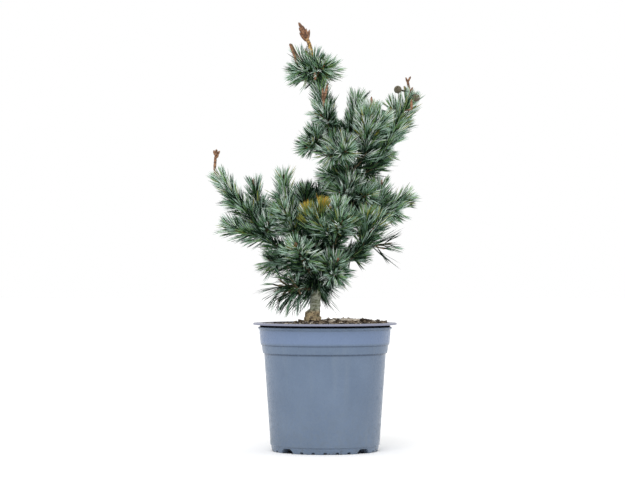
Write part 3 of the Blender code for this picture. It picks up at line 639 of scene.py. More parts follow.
def add_tube(bundle, path, radii, sides, relief=None, marks=None):
    """A closed limb with rings square to its path, its surface raised by a relief rule."""
    corners = []
    for k, (point, radius, (side, lift)) in enumerate(zip(path, radii, frames_of(path))):
        for n in range(sides):
            angle = 2 * math.pi * n / sides
            out = side * math.cos(angle) + lift * math.sin(angle)
            reach = radius
            if relief:
                reach += relief(point + out * radius, k)
            corners.append(point + out * reach)
    faces = [tuple(reversed(range(sides)))]
    for k in range(len(path) - 1):
        for n in range(sides):
            after = (n + 1) % sides
            faces.append((k * sides + n, k * sides + after, (k + 1) * sides + after, (k + 1) * sides + n))
    faces.append(tuple(range((len(path) - 1) * sides, len(path) * sides)))
    bundle.add(corners, faces, [mark for mark in marks for _ in range(sides)] if marks else None)


def trunk_relief(place, ring):
    """Scaly plates on the graft foot, fine rings and pimples above it, a swelling at each whorl."""
    height = ring * TRUNK_RING
    foot = min(1.0, max(0.0, (GRAFT_TOP[1] - height) / (GRAFT_TOP[1] - GRAFT_TOP[0])))
    plates = PLATES[0] * noise.fractal(place * PLATES[1], 0.8, 2.1, 4) * foot
    rings = RINGS[0] * noise.noise(place * Vector(RINGS[1]))
    pimples = PIMPLES[0] * noise.noise(place * PIMPLES[1])
    whorls = sum(SWELLING * math.exp(-((height - row[0]) / SWELLING_REACH) ** 2) for row in BOUGHS.values())
    fade = min(1.0, trunk_radius(height) / THIN_STEM)
    return plates + ((rings + pimples) * (1 - foot) + min(whorls, MOST_SWELLING)) * fade


stem_bundle = Bundle()
heights = [k * TRUNK_RING for k in range(round(TRUNK_LENGTH / TRUNK_RING) + 1)]
radii = [trunk_radius(height) for height in heights]
add_tube(stem_bundle, [trunk_point(height) for height in heights], radii, TRUNK_SIDES, trunk_relief)

bark, tree, shader = material_called("young_bark")
up_stem = height_in(tree)
cloud, grain = mottled(tree, 210.0)
rings, flecks = mottled(tree, 60.0, (1, 1, 7))
stem_colour = layered(
    tree, tone(116, 122, 92),
    (cloud, 0.38, 0.62, 1.0, (222, 226, 204)),
    (rings, 0.50, 0.66, 0.7, (232, 234, 220)),
    (flecks, 0.52, 0.64, 0.75, (50, 54, 38)))
foot_colour = layered(
    tree, tone(84, 62, 38),
    (cloud, 0.43, 0.57, 1.0, (206, 182, 138)),
    (grain, 0.52, 0.62, 0.85, (236, 222, 194)),
    (grain, 0.47, 0.38, 0.95, (30, 22, 14)),
    (rings, 0.58, 0.70, 0.6, (96, 104, 66)))
upper_colour = layered(tree, tone(104, 88, 62), (cloud, 0.40, 0.62, 1.0, (138, 128, 92)))
colour = mixed(tree, rise_of(tree, up_stem, *GRAFT_COLOUR), foot_colour, stem_colour)
colour = mixed(tree, rise_of(tree, up_stem, *UPPER_BARK, 0.8), colour, upper_colour)
surface(tree, shader, colour, 0.82, 0.25)
raised(tree, shader, flecks, 0.6, 0.0008)

trunk = stem_bundle.piece("trunk_bark", [bark])
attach(trunk, "root")
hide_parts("trunk")

# The boughs
# Young limbs that leave the trunk in loose whorls, each with a collar where it joins, rough with the
# pegs that shed needles leave. They end where the leafy shoots of this year and last go on.
BOUGH_SPACING = 0.0014
BOUGH_SIDES = 14
# How much thicker a bough is where it leaves the bark, and how far along it that fades
COLLAR = 0.45
COLLAR_REACH = 0.005
# Relief: how high it stands and how many waves it has in a metre
LIMB_BUMPS = ((0.00038, 480), (0.00030, 1100))


def bumps(place, layers):
    return sum(height * noise.noise(place * waves) for height, waves in layers)


def limb_relief(place, ring):
    return bumps(place, LIMB_BUMPS)


trunk_stations = sorted({row[0] for row in TRUNK_BENDS} | {row[0] for row in TRUNK_GIRTHS})
limb_paths = {"trunk": [trunk_point(h) for h in trunk_stations]}
limb_radii = {"trunk": [trunk_radius(h) for h in trunk_stations]}
bough_bundle = Bundle()
for name, (height, directions, rises, length, thick, thin) in BOUGHS.items():
    path = grow(trunk_point(height), directions, rises, length, BOUGH_STEPS)
    limb_paths[name] = path
    limb_radii[name] = [thick + (thin - thick) * k / BOUGH_STEPS for k in range(BOUGH_STEPS + 1)]
    fine = rounded(path, BOUGH_SPACING)
    radii = []
    for k in range(len(fine)):
        part = k / (len(fine) - 1)
        collar = COLLAR * math.exp(-max(0.0, part * length - trunk_radius(height)) / COLLAR_REACH)
        radii.append((thick + (thin - thick) * part) * (1 + collar))
    add_tube(bough_bundle, fine, radii, BOUGH_SIDES, limb_relief)
bough_bark = mottled_material(
    "rough_bough_bark", 150.0, (66, 62, 44), (0.36, 0.64, 1.0, (108, 100, 74)),
    (0.50, 0.68, 0.7, (40, 34, 24)), 0.85, 0.25, 0.0006)
boughs = bough_bundle.piece("bough_bark", [bough_bark])
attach(boughs, "root")
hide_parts(*["bough_" + name for name in BOUGHS])

# The leafy shoots
# Foxtail shoots go on from the boughs' tips and stand on the trunk, each with a whorl of side shoots
# round its foot. They follow the rule of the part's source, then branch once more within the same reach.
SEED = 47
SHOOT_STEPS = 4
# Each mass: the bough or the height on the trunk that its leader stands on, the leader's direction and
# rise at foot and tip, its reach, then its side shoots' count, opening, first turn, first place and reach
MASSES = {
    "left_outer": ("left_outer", (177, 180), (50, 54), 0.136, (1, 50, 20, 0.16, 0.060)),
    "left_inner": ("left_inner", (190, 150), (66, 92), 0.123, (2, 44, 10, 0.08, 0.066)),
    "left_back": ("left_back", (156, 166), (18, 12), 0.048, (3, 50, 75, 0.15, 0.038)),
    "low_left": ("low_left", (200, 196), (-6, -26), 0.058, (3, 46, 20, 0.12, 0.054)),
    "front_left": ("front_left", (250, 246), (38, 44), 0.061, (2, 60, 200, 0.12, 0.040)),
    "front_low": ("front_low", (226, 214), (-4, -22), 0.048, (3, 54, 90, 0.15, 0.046)),
    "front_right": ("front_right", (293, 293), (40, 48), 0.056, (3, 56, 170, 0.10, 0.044)),
    "low_back": ("low_back", (95, 100), (24, 34), 0.060, (3, 54, 80, 0.15, 0.050)),
    "right_back": ("right_back", (42, 38), (12, 18), 0.054, (2, 42, 30, 0.15, 0.038)),
    "yellow": ("yellow", (215, 205), (66, 76), 0.068, (1, 38, 170, 0.12, 0.056)),
    "back_left": ("back_left", (108, 116), (72, 80), 0.079, (3, 30, 10, 0.08, 0.072)),
    "right_low": ("right_low", (330, 320), (50, 62), 0.050, (1, 46, 20, 0.10, 0.046)),
    "centre_front": ("centre_front", (290, 290), (74, 80), 0.087, (4, 46, 5, 0.06, 0.060)),
    "right_mid": ("right_mid", (2, 2), (28, 36), 0.084, (2, 44, 150, 0.14, 0.050)),
    "back_mid": ("back_mid", (71, 71), (24, 40), 0.060, (2, 48, 10, 0.15, 0.052)),
    "trunk_front": (0.200, (240, 232), (36, 56), 0.054, (3, 46, 20, 0.30, 0.044)),
    "trunk_right": (0.196, (326, 326), (34, 52), 0.046, (3, 46, 60, 0.30, 0.044)),
    "trunk_left": (0.234, (186, 182), (18, 28), 0.056, (3, 44, 80, 0.35, 0.042)),
    "right_upper": ("right_upper", (4, 0), (62, 66), 0.111, (2, 22, 0, 0.05, 0.070)),
    "right_inner": ("right_inner", (305, 300), (72, 82), 0.089, (3, 20, -10, 0.08, 0.075)),
    "back_right": ("back_right", (48, 54), (50, 62), 0.073, (3, 44, 20, 0.12, 0.058)),
    "centre_upper": ("centre_upper", (0, 0), (80, 78), 0.090, (2, 30, 200, 0.06, 0.048)),
    "front_upper": (0.264, (250, 246), (26, 42), 0.065, (4, 46, 40, 0.35, 0.052)),
    "left_upper": ("left_upper", (182, 178), (24, 32), 0.043, (4, 60, 50, 0.12, 0.045)),
    "back_upper": ("back_upper", (108, 108), (46, 58), 0.062, (2, 40, 110, 0.12, 0.044)),
    "neck_left": (0.326, (200, 184), (56, 82), 0.056, (2, 34, 60, 0.25, 0.040)),
    "neck_front": (0.322, (262, 214), (34, 78), 0.060, (2, 30, 110, 0.25, 0.038)),
    "neck_back": (0.338, (92, 110), (36, 70), 0.052, (2, 34, 100, 0.25, 0.036)),
    "top": (TRUNK_LENGTH, (200, 170), (74, 84), 0.046, (5, 86, 18, 0.16, 0.054)),
}
# Shoots on a leader: mass, place on it, direction and rise at foot and tip, reach
LONE_SHOOTS = {
    "left_tall": ("left_outer", 0.05, (146, 160), (70, 84), 0.107),
    "left_far": ("left_outer", 0.02, (188, 184), (8, 30), 0.088),
    "left_front": ("left_outer", 0.03, (276, 276), (36, 50), 0.056),
    "left_side": ("left_inner", 0.03, (158, 150), (44, 64), 0.082),
    "left_middle": ("left_inner", 0.02, (204, 198), (36, 56), 0.056),
    "yellow_right": ("yellow", 0.05, (322, 322), (66, 78), 0.073),
    "yellow_middle": ("yellow", 0.08, (55, 55), (78, 84), 0.064),
    "right_front": ("right_low", 0.04, (300, 300), (70, 82), 0.076),
    "right_pale": ("right_low", 0.06, (6, 0), (54, 68), 0.074),
    "right_sweep": ("right_low", 0.10, (352, 362), (0, 14), 0.066),
    "right_bud": ("right_mid", 0.04, (346, 346), (76, 88), 0.071),
    "right_under": ("right_mid", 0.05, (338, 338), (0, 6), 0.042),
    "right_small": ("right_mid", 0.08, (231, 231), (46, 60), 0.056),
    "right_shelf": ("right_upper", 0.02, (340, 334), (0, 10), 0.027),
    "centre_tip": ("centre_upper", 0.08, (8, 8), (62, 74), 0.068),
    "centre_dark": ("centre_upper", 0.06, (232, 226), (44, 60), 0.034),
    "top_side": ("top", 0.10, (180, 178), (40, 66), 0.072),
    "top_low": ("top", 0.05, (196, 190), (8, -6), 0.054),
    "top_bud": ("top", 0.14, (345, 345), (48, 66), 0.044),
}
# Shoots that end in a candle, and how much of their tip is bare
BARE_TIPS = {"left_outer": 0.004, "right_upper": 0.004, "top": 0.010, "top_side": 0.044}
# Finer twigs listed outside the rule: mass, place on the leader, direction, rise, reach
LONE_TWIGS = (
    ("right_upper", 0.60, 180, 50, 0.046), ("right_upper", 0.44, 178, 62, 0.040),
    ("right_upper", 0.40, 4, 48, 0.038), ("left_outer", 0.10, 300, 30, 0.036),
    ("left_inner", 0.04, 250, 20, 0.034), ("left_upper", 0.10, 172, 70, 0.040),
    ("front_right", 0.12, 345, -14, 0.034), ("front_low", 0.06, 215, -52, 0.032),
    ("left_outer", 0.62, 178, 24, 0.030),
)
# Masses whose side shoots don't branch again
PLAIN_MASSES = (
    "low_left", "front_low", "right_upper", "centre_upper", "neck_left", "neck_front", "neck_back")
# How far needle points reach past a shoot's wood, and how near it comes to what isn't its own
SHOOT_OVERHANG = 0.021
SHOOT_APART = 0.0085
POT_HEIGHT = 0.214
RIM_RADIUS = 0.120
ROOM_OVER_POT = 0.016
# By how many degrees a side shoot may turn aside, in this order, to find room
NUDGES = (0, 18, -18, 36, -36, 54, -54)
STEEPEST = 86
# Side shoots: the step from one to the next along the leader and how much it, their turn and opening vary,
# their reach as shares of the mass's, and how many degrees they lift towards their tips
PLACE_STEP = 0.05
PLACE_SPREAD = 0.02
TURN_ASIDE = 10
OPENING_ASIDE = 5
REACH_SHARES = (0.90, 1.08)
SHOOT_LIFT = 14
# Finer twigs, in the same way
TWIG_PLACE = 0.26
TWIG_PLACE_STEP = 0.22
TWIG_PLACE_SPREAD = 0.04
TWIG_TURN_STEP = 137.5
TWIG_OPENING = 26
TWIG_OPENING_ASIDE = 6
TWIG_REACH_SHARES = (0.60, 0.80)
TWIG_LIFT = 16
LONE_TWIG_LIFT = 10
SHORTEST_TWIG = 0.022
LONGEST_TWIG = 0.046
LONG_SHOOT = 0.07
# Radius at foot and tip of leaders, side shoots and finer twigs
TWIG_RADII = ((0.0026, 0.0015), (0.0020, 0.0013), (0.0013, 0.0010))
TWIG_STEPS = 9
TWIG_SIDES = 7


class Shoot:
    """A twig with needles. Its reach is the way to the last needle's point, and its wood ends before it."""

    def __init__(self, start, directions, rises, reach, name="", order=1):
        self.name = name
        self.reach = reach
        self.order = order
        self.candle = name in BARE_TIPS
        self.whole = grow(start, directions, rises, reach, SHOOT_STEPS)
        self.wood = reach if self.candle else max(reach * 0.45, reach - SHOOT_OVERHANG)
        self.leafy = self.wood - BARE_TIPS.get(name, 0)


def side_heading(ahead, opening, turn):
    """The heading of a side shoot that opens from its leader by one angle and turns round it by another."""
    side = ahead.cross(Vector((0, 0, 1)))
    side = side.normalized() if side.length > 0.001 else Vector((1, 0, 0))
    lift = side.cross(ahead)
    out = side * math.cos(math.radians(turn)) + lift * math.sin(math.radians(turn))
    return ahead * math.cos(math.radians(opening)) + out * math.sin(math.radians(opening))


def angles_of(ahead):
    rise = math.degrees(math.asin(max(-1.0, min(1.0, ahead.z))))
    return math.degrees(math.atan2(ahead.y, ahead.x)), rise


def segments_of(paths):
    starts = [point for path in paths for point in path[:-1]]
    ends = [point for path in paths for point in path[1:]]
    return np.array(starts), np.array(ends)


def distances(points, segments):
    """From each point to its nearest place on each segment."""
    starts, ends = segments
    run = ends - starts
    offset = points[:, None, :] - starts[None, :, :]
    share = np.clip((offset * run).sum(-1) / (run * run).sum(-1), 0, 1)
    return np.linalg.norm(offset - share[..., None] * run, axis=-1)


def girths_of(limb):
    """For each step of a limb, the radius at its thicker end."""
    return np.array([max(a, b) for a, b in zip(limb_radii[limb], limb_radii[limb][1:])])


def has_room(shoot, name, masses):
    """Whether a side shoot keeps away from the other masses' shoots and from the limbs."""
    points = np.array([along(shoot.whole, s / 10)[0] for s in range(2, 11)])
    others = segments_of([one.whole for mass in masses if mass != name for one in masses[mass]])
    if distances(points, others).min() < SHOOT_APART:
        return False
    for limb, path in limb_paths.items():
        if (distances(points, segments_of([path])) - girths_of(limb)).min() < SHOOT_APART / 2:
            return False
    return min(points[:, 2]) > POT_HEIGHT + ROOM_OVER_POT


masses = {}
for name, (parent, directions, rises, reach, _) in MASSES.items():
    if isinstance(parent, str) or parent == TRUNK_LENGTH:
        path = limb_paths["trunk" if parent == TRUNK_LENGTH else parent]
        start = path[-1] + (path[-1] - path[-2]).normalized() * GAP
    else:
        start = trunk_point(parent)
    masses[name] = [Shoot(start, directions, rises, reach, name, 0)]
for name, (mass, place, directions, rises, reach) in LONE_SHOOTS.items():
    masses[mass].append(Shoot(along(masses[mass][0].whole, place)[0], directions, rises, reach, name))
for name in MASSES:
    rule = random.Random(SEED + sum(ord(letter) for letter in name))
    leader = masses[name][0]
    count, opening, first_turn, place, side_reach = MASSES[name][-1]
    for k in range(count):
        spot = min(0.8, place + PLACE_STEP * k + rule.uniform(-PLACE_SPREAD, PLACE_SPREAD))
        root, ahead = along(leader.whole, spot)
        turn = first_turn + 360 * k / count + rule.uniform(-TURN_ASIDE, TURN_ASIDE)
        spread = opening + rule.uniform(-OPENING_ASIDE, OPENING_ASIDE)
        length = side_reach * rule.uniform(*REACH_SHARES)
        for nudge in NUDGES:
            direction, rise = angles_of(side_heading(ahead, spread, turn + nudge))
            shoot = Shoot(root, (direction, direction), (rise, min(STEEPEST, rise + SHOOT_LIFT)), length)
            if has_room(shoot, name, masses):
                masses[name].append(shoot)
                break
for mass, place, direction, rise, reach in LONE_TWIGS:
    root = along(masses[mass][0].whole, place)[0]
    masses[mass].append(Shoot(root, (direction, direction), (rise, rise + LONE_TWIG_LIFT), reach, "", 2))
twig_rule = random.Random(SEED)
for name, shoots in masses.items():
    for parent in list(shoots):
        for k in range(2 if parent.reach > LONG_SHOOT else 1):
            aside = twig_rule.uniform(-TWIG_PLACE_SPREAD, TWIG_PLACE_SPREAD)
            spot = TWIG_PLACE + TWIG_PLACE_STEP * k + aside
            root, ahead = along(parent.whole, spot)
            turn = TWIG_TURN_STEP * k + twig_rule.uniform(0, 360)
            opening = TWIG_OPENING + twig_rule.uniform(-TWIG_OPENING_ASIDE, TWIG_OPENING_ASIDE)
            direction, rise = angles_of(side_heading(ahead, opening, turn))
            length = (1 - spot) * parent.reach * twig_rule.uniform(*TWIG_REACH_SHARES)
            rises = (rise, min(STEEPEST, rise + TWIG_LIFT))
            twig = Shoot(root, (direction, direction), rises, min(length, LONGEST_TWIG), "", 2)
            if length > SHORTEST_TWIG and name not in PLAIN_MASSES and has_room(twig, name, masses):
                shoots.append(twig)

twig_bundle = Bundle()
for shoots in masses.values():
    for shoot in shoots:
        thick, thin = TWIG_RADII[shoot.order]
        share = shoot.wood / shoot.reach
        path = [along(shoot.whole, share * k / TWIG_STEPS)[0] for k in range(TWIG_STEPS + 1)]
        radii = [thick + (thin - thick) * k / TWIG_STEPS for k in range(TWIG_STEPS + 1)]
        add_tube(twig_bundle, path, radii, TWIG_SIDES, limb_relief)
twig_bark = mottled_material(
    "twig_bark", 120.0, (80, 70, 48), (0.35, 0.65, 1.0, (116, 106, 72)),
    (0.5, 0.7, 0.6, (72, 56, 36)), 0.75, 0.5, 0.0006)
twigs = twig_bundle.piece("twigs", [twig_bark])
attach(twigs, "root")
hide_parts(*["mass_" + name for name in masses])

# The needles
# Bundles of five, wound up each shoot at the golden angle: green on the back, with the pale wax of the
# breathing pores on the two inner faces. Old ones low on the tree hang, young ones close over the tip.
NEEDLE_LENGTH = 0.030
NEEDLE_WIDTH = 0.00126
# Opening from the shoot, in degrees, at shares of its leafy length
NEEDLE_OPENING = ((0.0, 52), (0.2, 46), (0.6, 42), (1.0, 31))
BUNDLE_STEP = 0.00106
# Width of a needle by its length, both as shares of the usual ones
NEEDLE_GIRTHS = ((0.5, 0.75), (1.0, 1.0), (1.25, 0.85), (1.6, 0.66))
CANDLE_OVERLAP = 0.012
GOLDEN_TURN = 137.508
# Where along a needle it has corners, and how wide it is there
NEEDLE_STATIONS = ((0.0, 0.8), (0.40, 1.0), (0.78, 0.8))
# A needle's section, as shares of its width: its back's two edges and the ridge of its inner faces
NEEDLE_EDGE = 0.22
NEEDLE_RIDGE = 0.46
NEEDLES_IN_BUNDLE = 5
# How far a bundle's root stands off the wood's middle line
ROOT_OFFSET = 0.0009
# How far needles bend towards the shoot's tip, how much that varies, and how far they droop
CURL = 0.16
CURL_SPREAD = 0.045
USUAL_DROOP = 0.02
DROOP = {"low_left": 0.30, "front_low": 0.34, "front_right": 0.08, "left_back": 0.10, "left_upper": -0.10}
# Spread of a bundle's opening, of needles round its axis and away from it, in degrees, and of their length
OPENING_SPREAD = 5.0
TURN_SPREAD = 16
SPLAY = (2, 8)
LENGTH_SPREAD = (0.80, 1.10)
REACH_SPREAD = (0.90, 1.04)
# Share of needles whose back isn't like the others' of their bundle
STRAY_SHARE = 0.12
# Needle length and bundle step on shoots that differ, as a share of the usual ones
LONGER = {
    "neck_left": 0.85, "top_low": 0.85, "back_upper": 0.8, "neck_front": 0.85, "left_upper": 0.9,
    "back_right": 0.85, "right_upper": 1.12, "right_shelf": 0.8, "low_left": 1.75, "front_low": 1.70,
    "left_back": 1.2, "right_sweep": 1.7, "low_back": 1.2, "right_under": 1.1, "right_low_sides": 1.35,
}
SPARSER = {
    "low_left": 8.0, "front_low": 3.0, "left_back": 1.4, "right_sweep": 5.0, "low_back": 1.6,
    "right_low_sides": 4.5,
}
# Share of each bough's length, from its tip, that bears bundles too
CLOTHED_BOUGH = 0.8
BARER_BOUGHS = {"low_left": 0.9, "front_low": 0.9, "front_left": 0.5, "front_right": 0.9, "right_back": 0.5}
# Bundle step on boughs that bear more, as a share of the usual one
FULLER_BOUGHS = {"low_left": 0.26, "front_low": 0.6}
# Bundles on the trunk: heights from and to, opening at both ends, how much longer and sparser, and mood
TRUNK_BUNDLES = (
    (0.112, 0.048, 84, 50, 1.75, 1.5, "shaded"), (0.112, 0.050, 66, 36, 1.15, 0.32, "dark"),
    (0.050, 0.130, 84, 58, 1.4, 0.4, "dark"),
    (0.130, 0.290, 52, 44, 1.0, 0.9, "dark"), (0.290, TRUNK_LENGTH, 44, 34, 1.0, 0.8, "green"),
)
# Heights between which no needle hides the stem, how far to its sides, and how near bark needles come
STEM_SHOWS = (0.222, 0.259)
STEM_SHOWS_BESIDE = 0.013
OVER_BARK = 0.0008
# Room between needles and the lip, outwards and upwards
BESIDE_LIP = 0.003
OVER_LIP = 0.0015
# Where the sky shows between the shoots: across, up and how wide
SKY_SHOWS = (
    (0.0270, 0.5870, 0.0075), (0.0260, 0.5740, 0.0065), (0.0262, 0.5630, 0.0045), (0.1000, 0.5740, 0.0050),
    (-0.0950, 0.4440, 0.0090), (-0.1190, 0.3220, 0.0090), (0.0480, 0.3100, 0.0070), (0.1420, 0.3990, 0.0080),
    (0.1250, 0.5100, 0.0070), (-0.0420, 0.6100, 0.0060), (-0.0310, 0.5740, 0.0080),
    (-0.1810, 0.4240, 0.0060),
)
# Backs of the needles, from shaded to sunlit, then the waxy faces, likewise from shaded to sunlit, then the
# yellowed ones. The shaded and sunlit tones are painted shade and painted light on the needles' own green and
# pale wax.
NEEDLE_TONES = {
    "needle_deep": (16, 32, 16), "needle_green": (72, 108, 62), "needle_sunlit": (128, 162, 100),
    "needle_olive": (146, 146, 58), "wax_shade": (36, 60, 46), "wax_dim": (126, 160, 136),
    "wax_grey": (188, 214, 200), "wax_pale": (236, 246, 240), "needle_straw": (198, 160, 48),
    "wax_straw": (212, 184, 86), "wax_moss": (158, 162, 92),
}
TONE_NAMES = list(NEEDLE_TONES)
STRAW = TONE_NAMES.index("needle_straw")
FIRST_WAX = TONE_NAMES.index("wax_shade")
# Odds of the four backs at the shoot's foot and tip, and of the four waxy faces at its foot and tip. The
# darker tones at the foot, inside the tree, are painted shade.
MOODS = {
    "blue": (((0.66, 0.26, 0.07, 0.01), (0.10, 0.42, 0.46, 0.02)),
             ((0.42, 0.28, 0.20, 0.10), (0.01, 0.13, 0.44, 0.42))),
    "green": (((0.66, 0.25, 0.07, 0.02), (0.10, 0.40, 0.40, 0.10)),
              ((0.46, 0.28, 0.18, 0.08), (0.02, 0.20, 0.46, 0.32))),
    "dark": (((0.86, 0.13, 0.01, 0.00), (0.50, 0.40, 0.10, 0.00)),
             ((0.72, 0.20, 0.06, 0.02), (0.32, 0.36, 0.24, 0.08))),
    "shaded": (((0.88, 0.12, 0.00, 0.00), (0.58, 0.34, 0.08, 0.00)),
               ((0.78, 0.18, 0.04, 0.00), (0.40, 0.36, 0.20, 0.04))),
    "fresh": (((0.54, 0.30, 0.12, 0.04), (0.05, 0.30, 0.43, 0.22)),
              ((0.36, 0.30, 0.22, 0.12), (0.01, 0.14, 0.42, 0.43))),
    "olive": (((0.66, 0.24, 0.08, 0.02), (0.14, 0.34, 0.20, 0.32)),
              ((0.56, 0.28, 0.14, 0.02), (0.04, 0.34, 0.40, 0.22))),
}
# The shoots, masses and stretches of each mood. The dark and shaded moods are painted shade on needles that
# lie in shadow, low down and inside the tree. The rest are blue or green as the dice fall.
MOOD_MEMBERS = {
    "dark": ("bough", "dark", "right_low", "centre_dark", "back_left"),
    "shaded": ("shaded", "low_left", "front_low"),
    "green": ("green", "left_outer"),
    "blue": ("left_far", "left_front", "trunk_front", "front_right", "left_back"),
    "fresh": ("left_inner", "right_front", "front_upper", "right_mid", "right_pale", "right_inner",
              "right_upper"),
    "olive": ("centre_front_sides", "yellow", "yellow_right", "yellow_middle"),
}
MOOD_OF = {name: mood for mood, names in MOOD_MEMBERS.items() for name in names}
YELLOWED = ("yellow", "yellow_right")
YELLOW_OPENING = ((0.0, 46), (0.4, 38), (0.75, 26), (1.0, 14))
# Yellowed shoots turn further towards the tip: from where, how fast, up to what share, back and face
RIPENING = (
    (0.15, 1.5, 0.72, "needle_olive", "wax_moss"), (0.70, 3.0, 0.70, "needle_straw", "wax_straw"))
TIERS = {
    "needles_low": ("low_left", "front_low", "front_right", "left_back", "low_back", "front_left",
                    "right_back"),
    "needles_left": ("left_outer", "left_inner", "back_left"),
    "needles_middle": ("right_low", "centre_front", "right_mid", "back_mid", "trunk_front",
                       "trunk_right", "trunk_left"),
    "needles_right": ("right_upper", "right_inner", "back_right", "centre_upper", "front_upper"),
    "needles_top": ("left_upper", "back_upper", "neck_left", "neck_front", "neck_back", "top"),
    "needles_yellow": ("yellow",),
}


def unit(rows):
    return rows / np.linalg.norm(rows, axis=-1, keepdims=True)


def plain_material(name, colour, roughness, shine):
    made, tree, shader = material_called(name)
    surface(tree, shader, colour, roughness, shine)
    return made


needle_materials = [plain_material(name, tone(*colour), 0.6, 0.10) for name, colour in NEEDLE_TONES.items()]


def drawn(odds, part, dice):
    """For each bundle a tone, drawn by odds that change from the shoot's foot to its tip."""
    foot, tip = np.cumsum(np.array(odds), axis=1)
    edges = foot + (tip - foot) * part[:, None]
    return (dice.random(len(part))[:, None] > edges[:, :-1]).sum(axis=1)


class Leafy:
    """A stretch of wood that bears needles: where, how far their points reach, and how they stand."""

    def __init__(self, path, span, reach, mass, name="", opening=NEEDLE_OPENING, longer=1.0, sparser=1.0):
        self.path = path
        self.span = span
        self.reach = reach
        self.mass = mass
        self.name = name
        self.opening = opening
        self.length = NEEDLE_LENGTH * longer * LONGER.get(name, LONGER.get(mass, 1.0))
        self.step = BUNDLE_STEP * sparser * SPARSER.get(name, SPARSER.get(mass, 1.0))


def needles_on(stretch, mood, dice):
    """The needles of one stretch: roots, headings, outer sides, curls, lengths and tones."""
    whole = np.array(stretch.path)
    stations = np.concatenate([[0], np.cumsum(np.linalg.norm(np.diff(whole, axis=0), axis=1))])
    middles = (stations[:-1] + stations[1:]) / 2
    steps = unit(np.diff(whole, axis=0))
    first, last = stretch.span
    count = max(3, int((last - first) / stretch.step))
    order = np.arange(count)
    part = (order + 0.3) / count
    run = first + part * (last - first)
    roots = np.stack([np.interp(run, stations, whole[:, axis]) for axis in range(3)], axis=1)
    ahead = unit(np.stack([np.interp(run, middles, steps[:, axis]) for axis in range(3)], axis=1))
    side = unit(np.cross(ahead, np.array([0.31, -0.92, 0.12])))
    lift = np.cross(ahead, side)
    turn = np.radians(GOLDEN_TURN * order + dice.uniform(0, 360))[:, None]
    away = side * np.cos(turn) + lift * np.sin(turn)
    opening = np.interp(part, *zip(*stretch.opening))
    opening = np.radians(opening + dice.normal(0, OPENING_SPREAD, count))[:, None]
    axis = ahead * np.cos(opening) + away * np.sin(opening)
    up = unit(ahead - axis * (ahead * axis).sum(1, keepdims=True))
    across = np.cross(axis, up)
    back_odds, wax_odds = MOODS[mood]
    backs = drawn(back_odds, part, dice)
    waxes = FIRST_WAX + drawn(wax_odds, part, dice)
    if stretch.name in YELLOWED:
        for start, pace, most, back, wax in RIPENING:
            ripe = dice.random(count) < np.clip((part - start) * pace, 0, most)
            backs = np.where(ripe, TONE_NAMES.index(back), backs)
            waxes = np.where(ripe, TONE_NAMES.index(wax), waxes)
    rows = []
    for n in range(NEEDLES_IN_BUNDLE):
        evenly = 360 / NEEDLES_IN_BUNDLE * n
        phase = np.radians(evenly + dice.uniform(-TURN_SPREAD, TURN_SPREAD, count))[:, None]
        spread = np.radians(dice.uniform(*SPLAY, count))[:, None]
        out = up * np.cos(phase) + across * np.sin(phase)
        ahead_needle = unit(axis * np.cos(spread) + out * np.sin(spread))
        curl = ahead * CURL + dice.normal(0, CURL_SPREAD, (count, 3))
        curl[:, 2] -= DROOP.get(stretch.mass, USUAL_DROOP)
        forward = np.clip((ahead_needle * ahead).sum(1) + 0.12, 0.25, 2)
        length = stretch.length * dice.uniform(*LENGTH_SPREAD, count)
        room = (stretch.reach - run) * dice.uniform(*REACH_SPREAD, count) / forward
        back = np.where(dice.random(count) < STRAY_SHARE, dice.choice(3, count), backs)
        roots_here = roots + away * ROOT_OFFSET
        rows.append((roots_here, ahead_needle, out, curl, np.minimum(length, room), back, waxes))
    return [np.concatenate(column) for column in zip(*rows)]


def needle_points(roots, headings, curls, lengths, t):
    return roots + lengths[:, None] * (headings * t + curls * t * t)


def clear_needles(roots, headings, curls, lengths):
    """Which needles keep off the lip, the chips and the trunk, and leave the bare stem and the sky to see."""
    clear = np.ones(len(roots), bool)
    trunk_line = segments_of([limb_paths["trunk"]])
    for t in (0.35, 0.6, 0.8, 1.0):
        spots = needle_points(roots, headings, curls, lengths, t)
        x, y, z = spots.T
        over_pot = np.hypot(x, y) < RIM_RADIUS + BESIDE_LIP
        clear &= ~(over_pot & (z < np.maximum(POT_HEIGHT, soil_height(x, y)) + OVER_LIP))
        stem_x = np.interp(z - FOOT_HEIGHT, *zip(*[row[:2] for row in TRUNK_BENDS]))
        before_stem = (np.abs(x - stem_x) < STEM_SHOWS_BESIDE) & (y < 0)
        clear &= ~(before_stem & (z > STEM_SHOWS[0]) & (z < STEM_SHOWS[1]))
        for sky_x, sky_z, wide in SKY_SHOWS:
            clear &= np.hypot(x - sky_x, z - sky_z) > wide
        if t > 0.5:
            clear &= ((distances(spots, trunk_line) - girths_of("trunk")) > OVER_BARK).all(axis=1)
    return clear


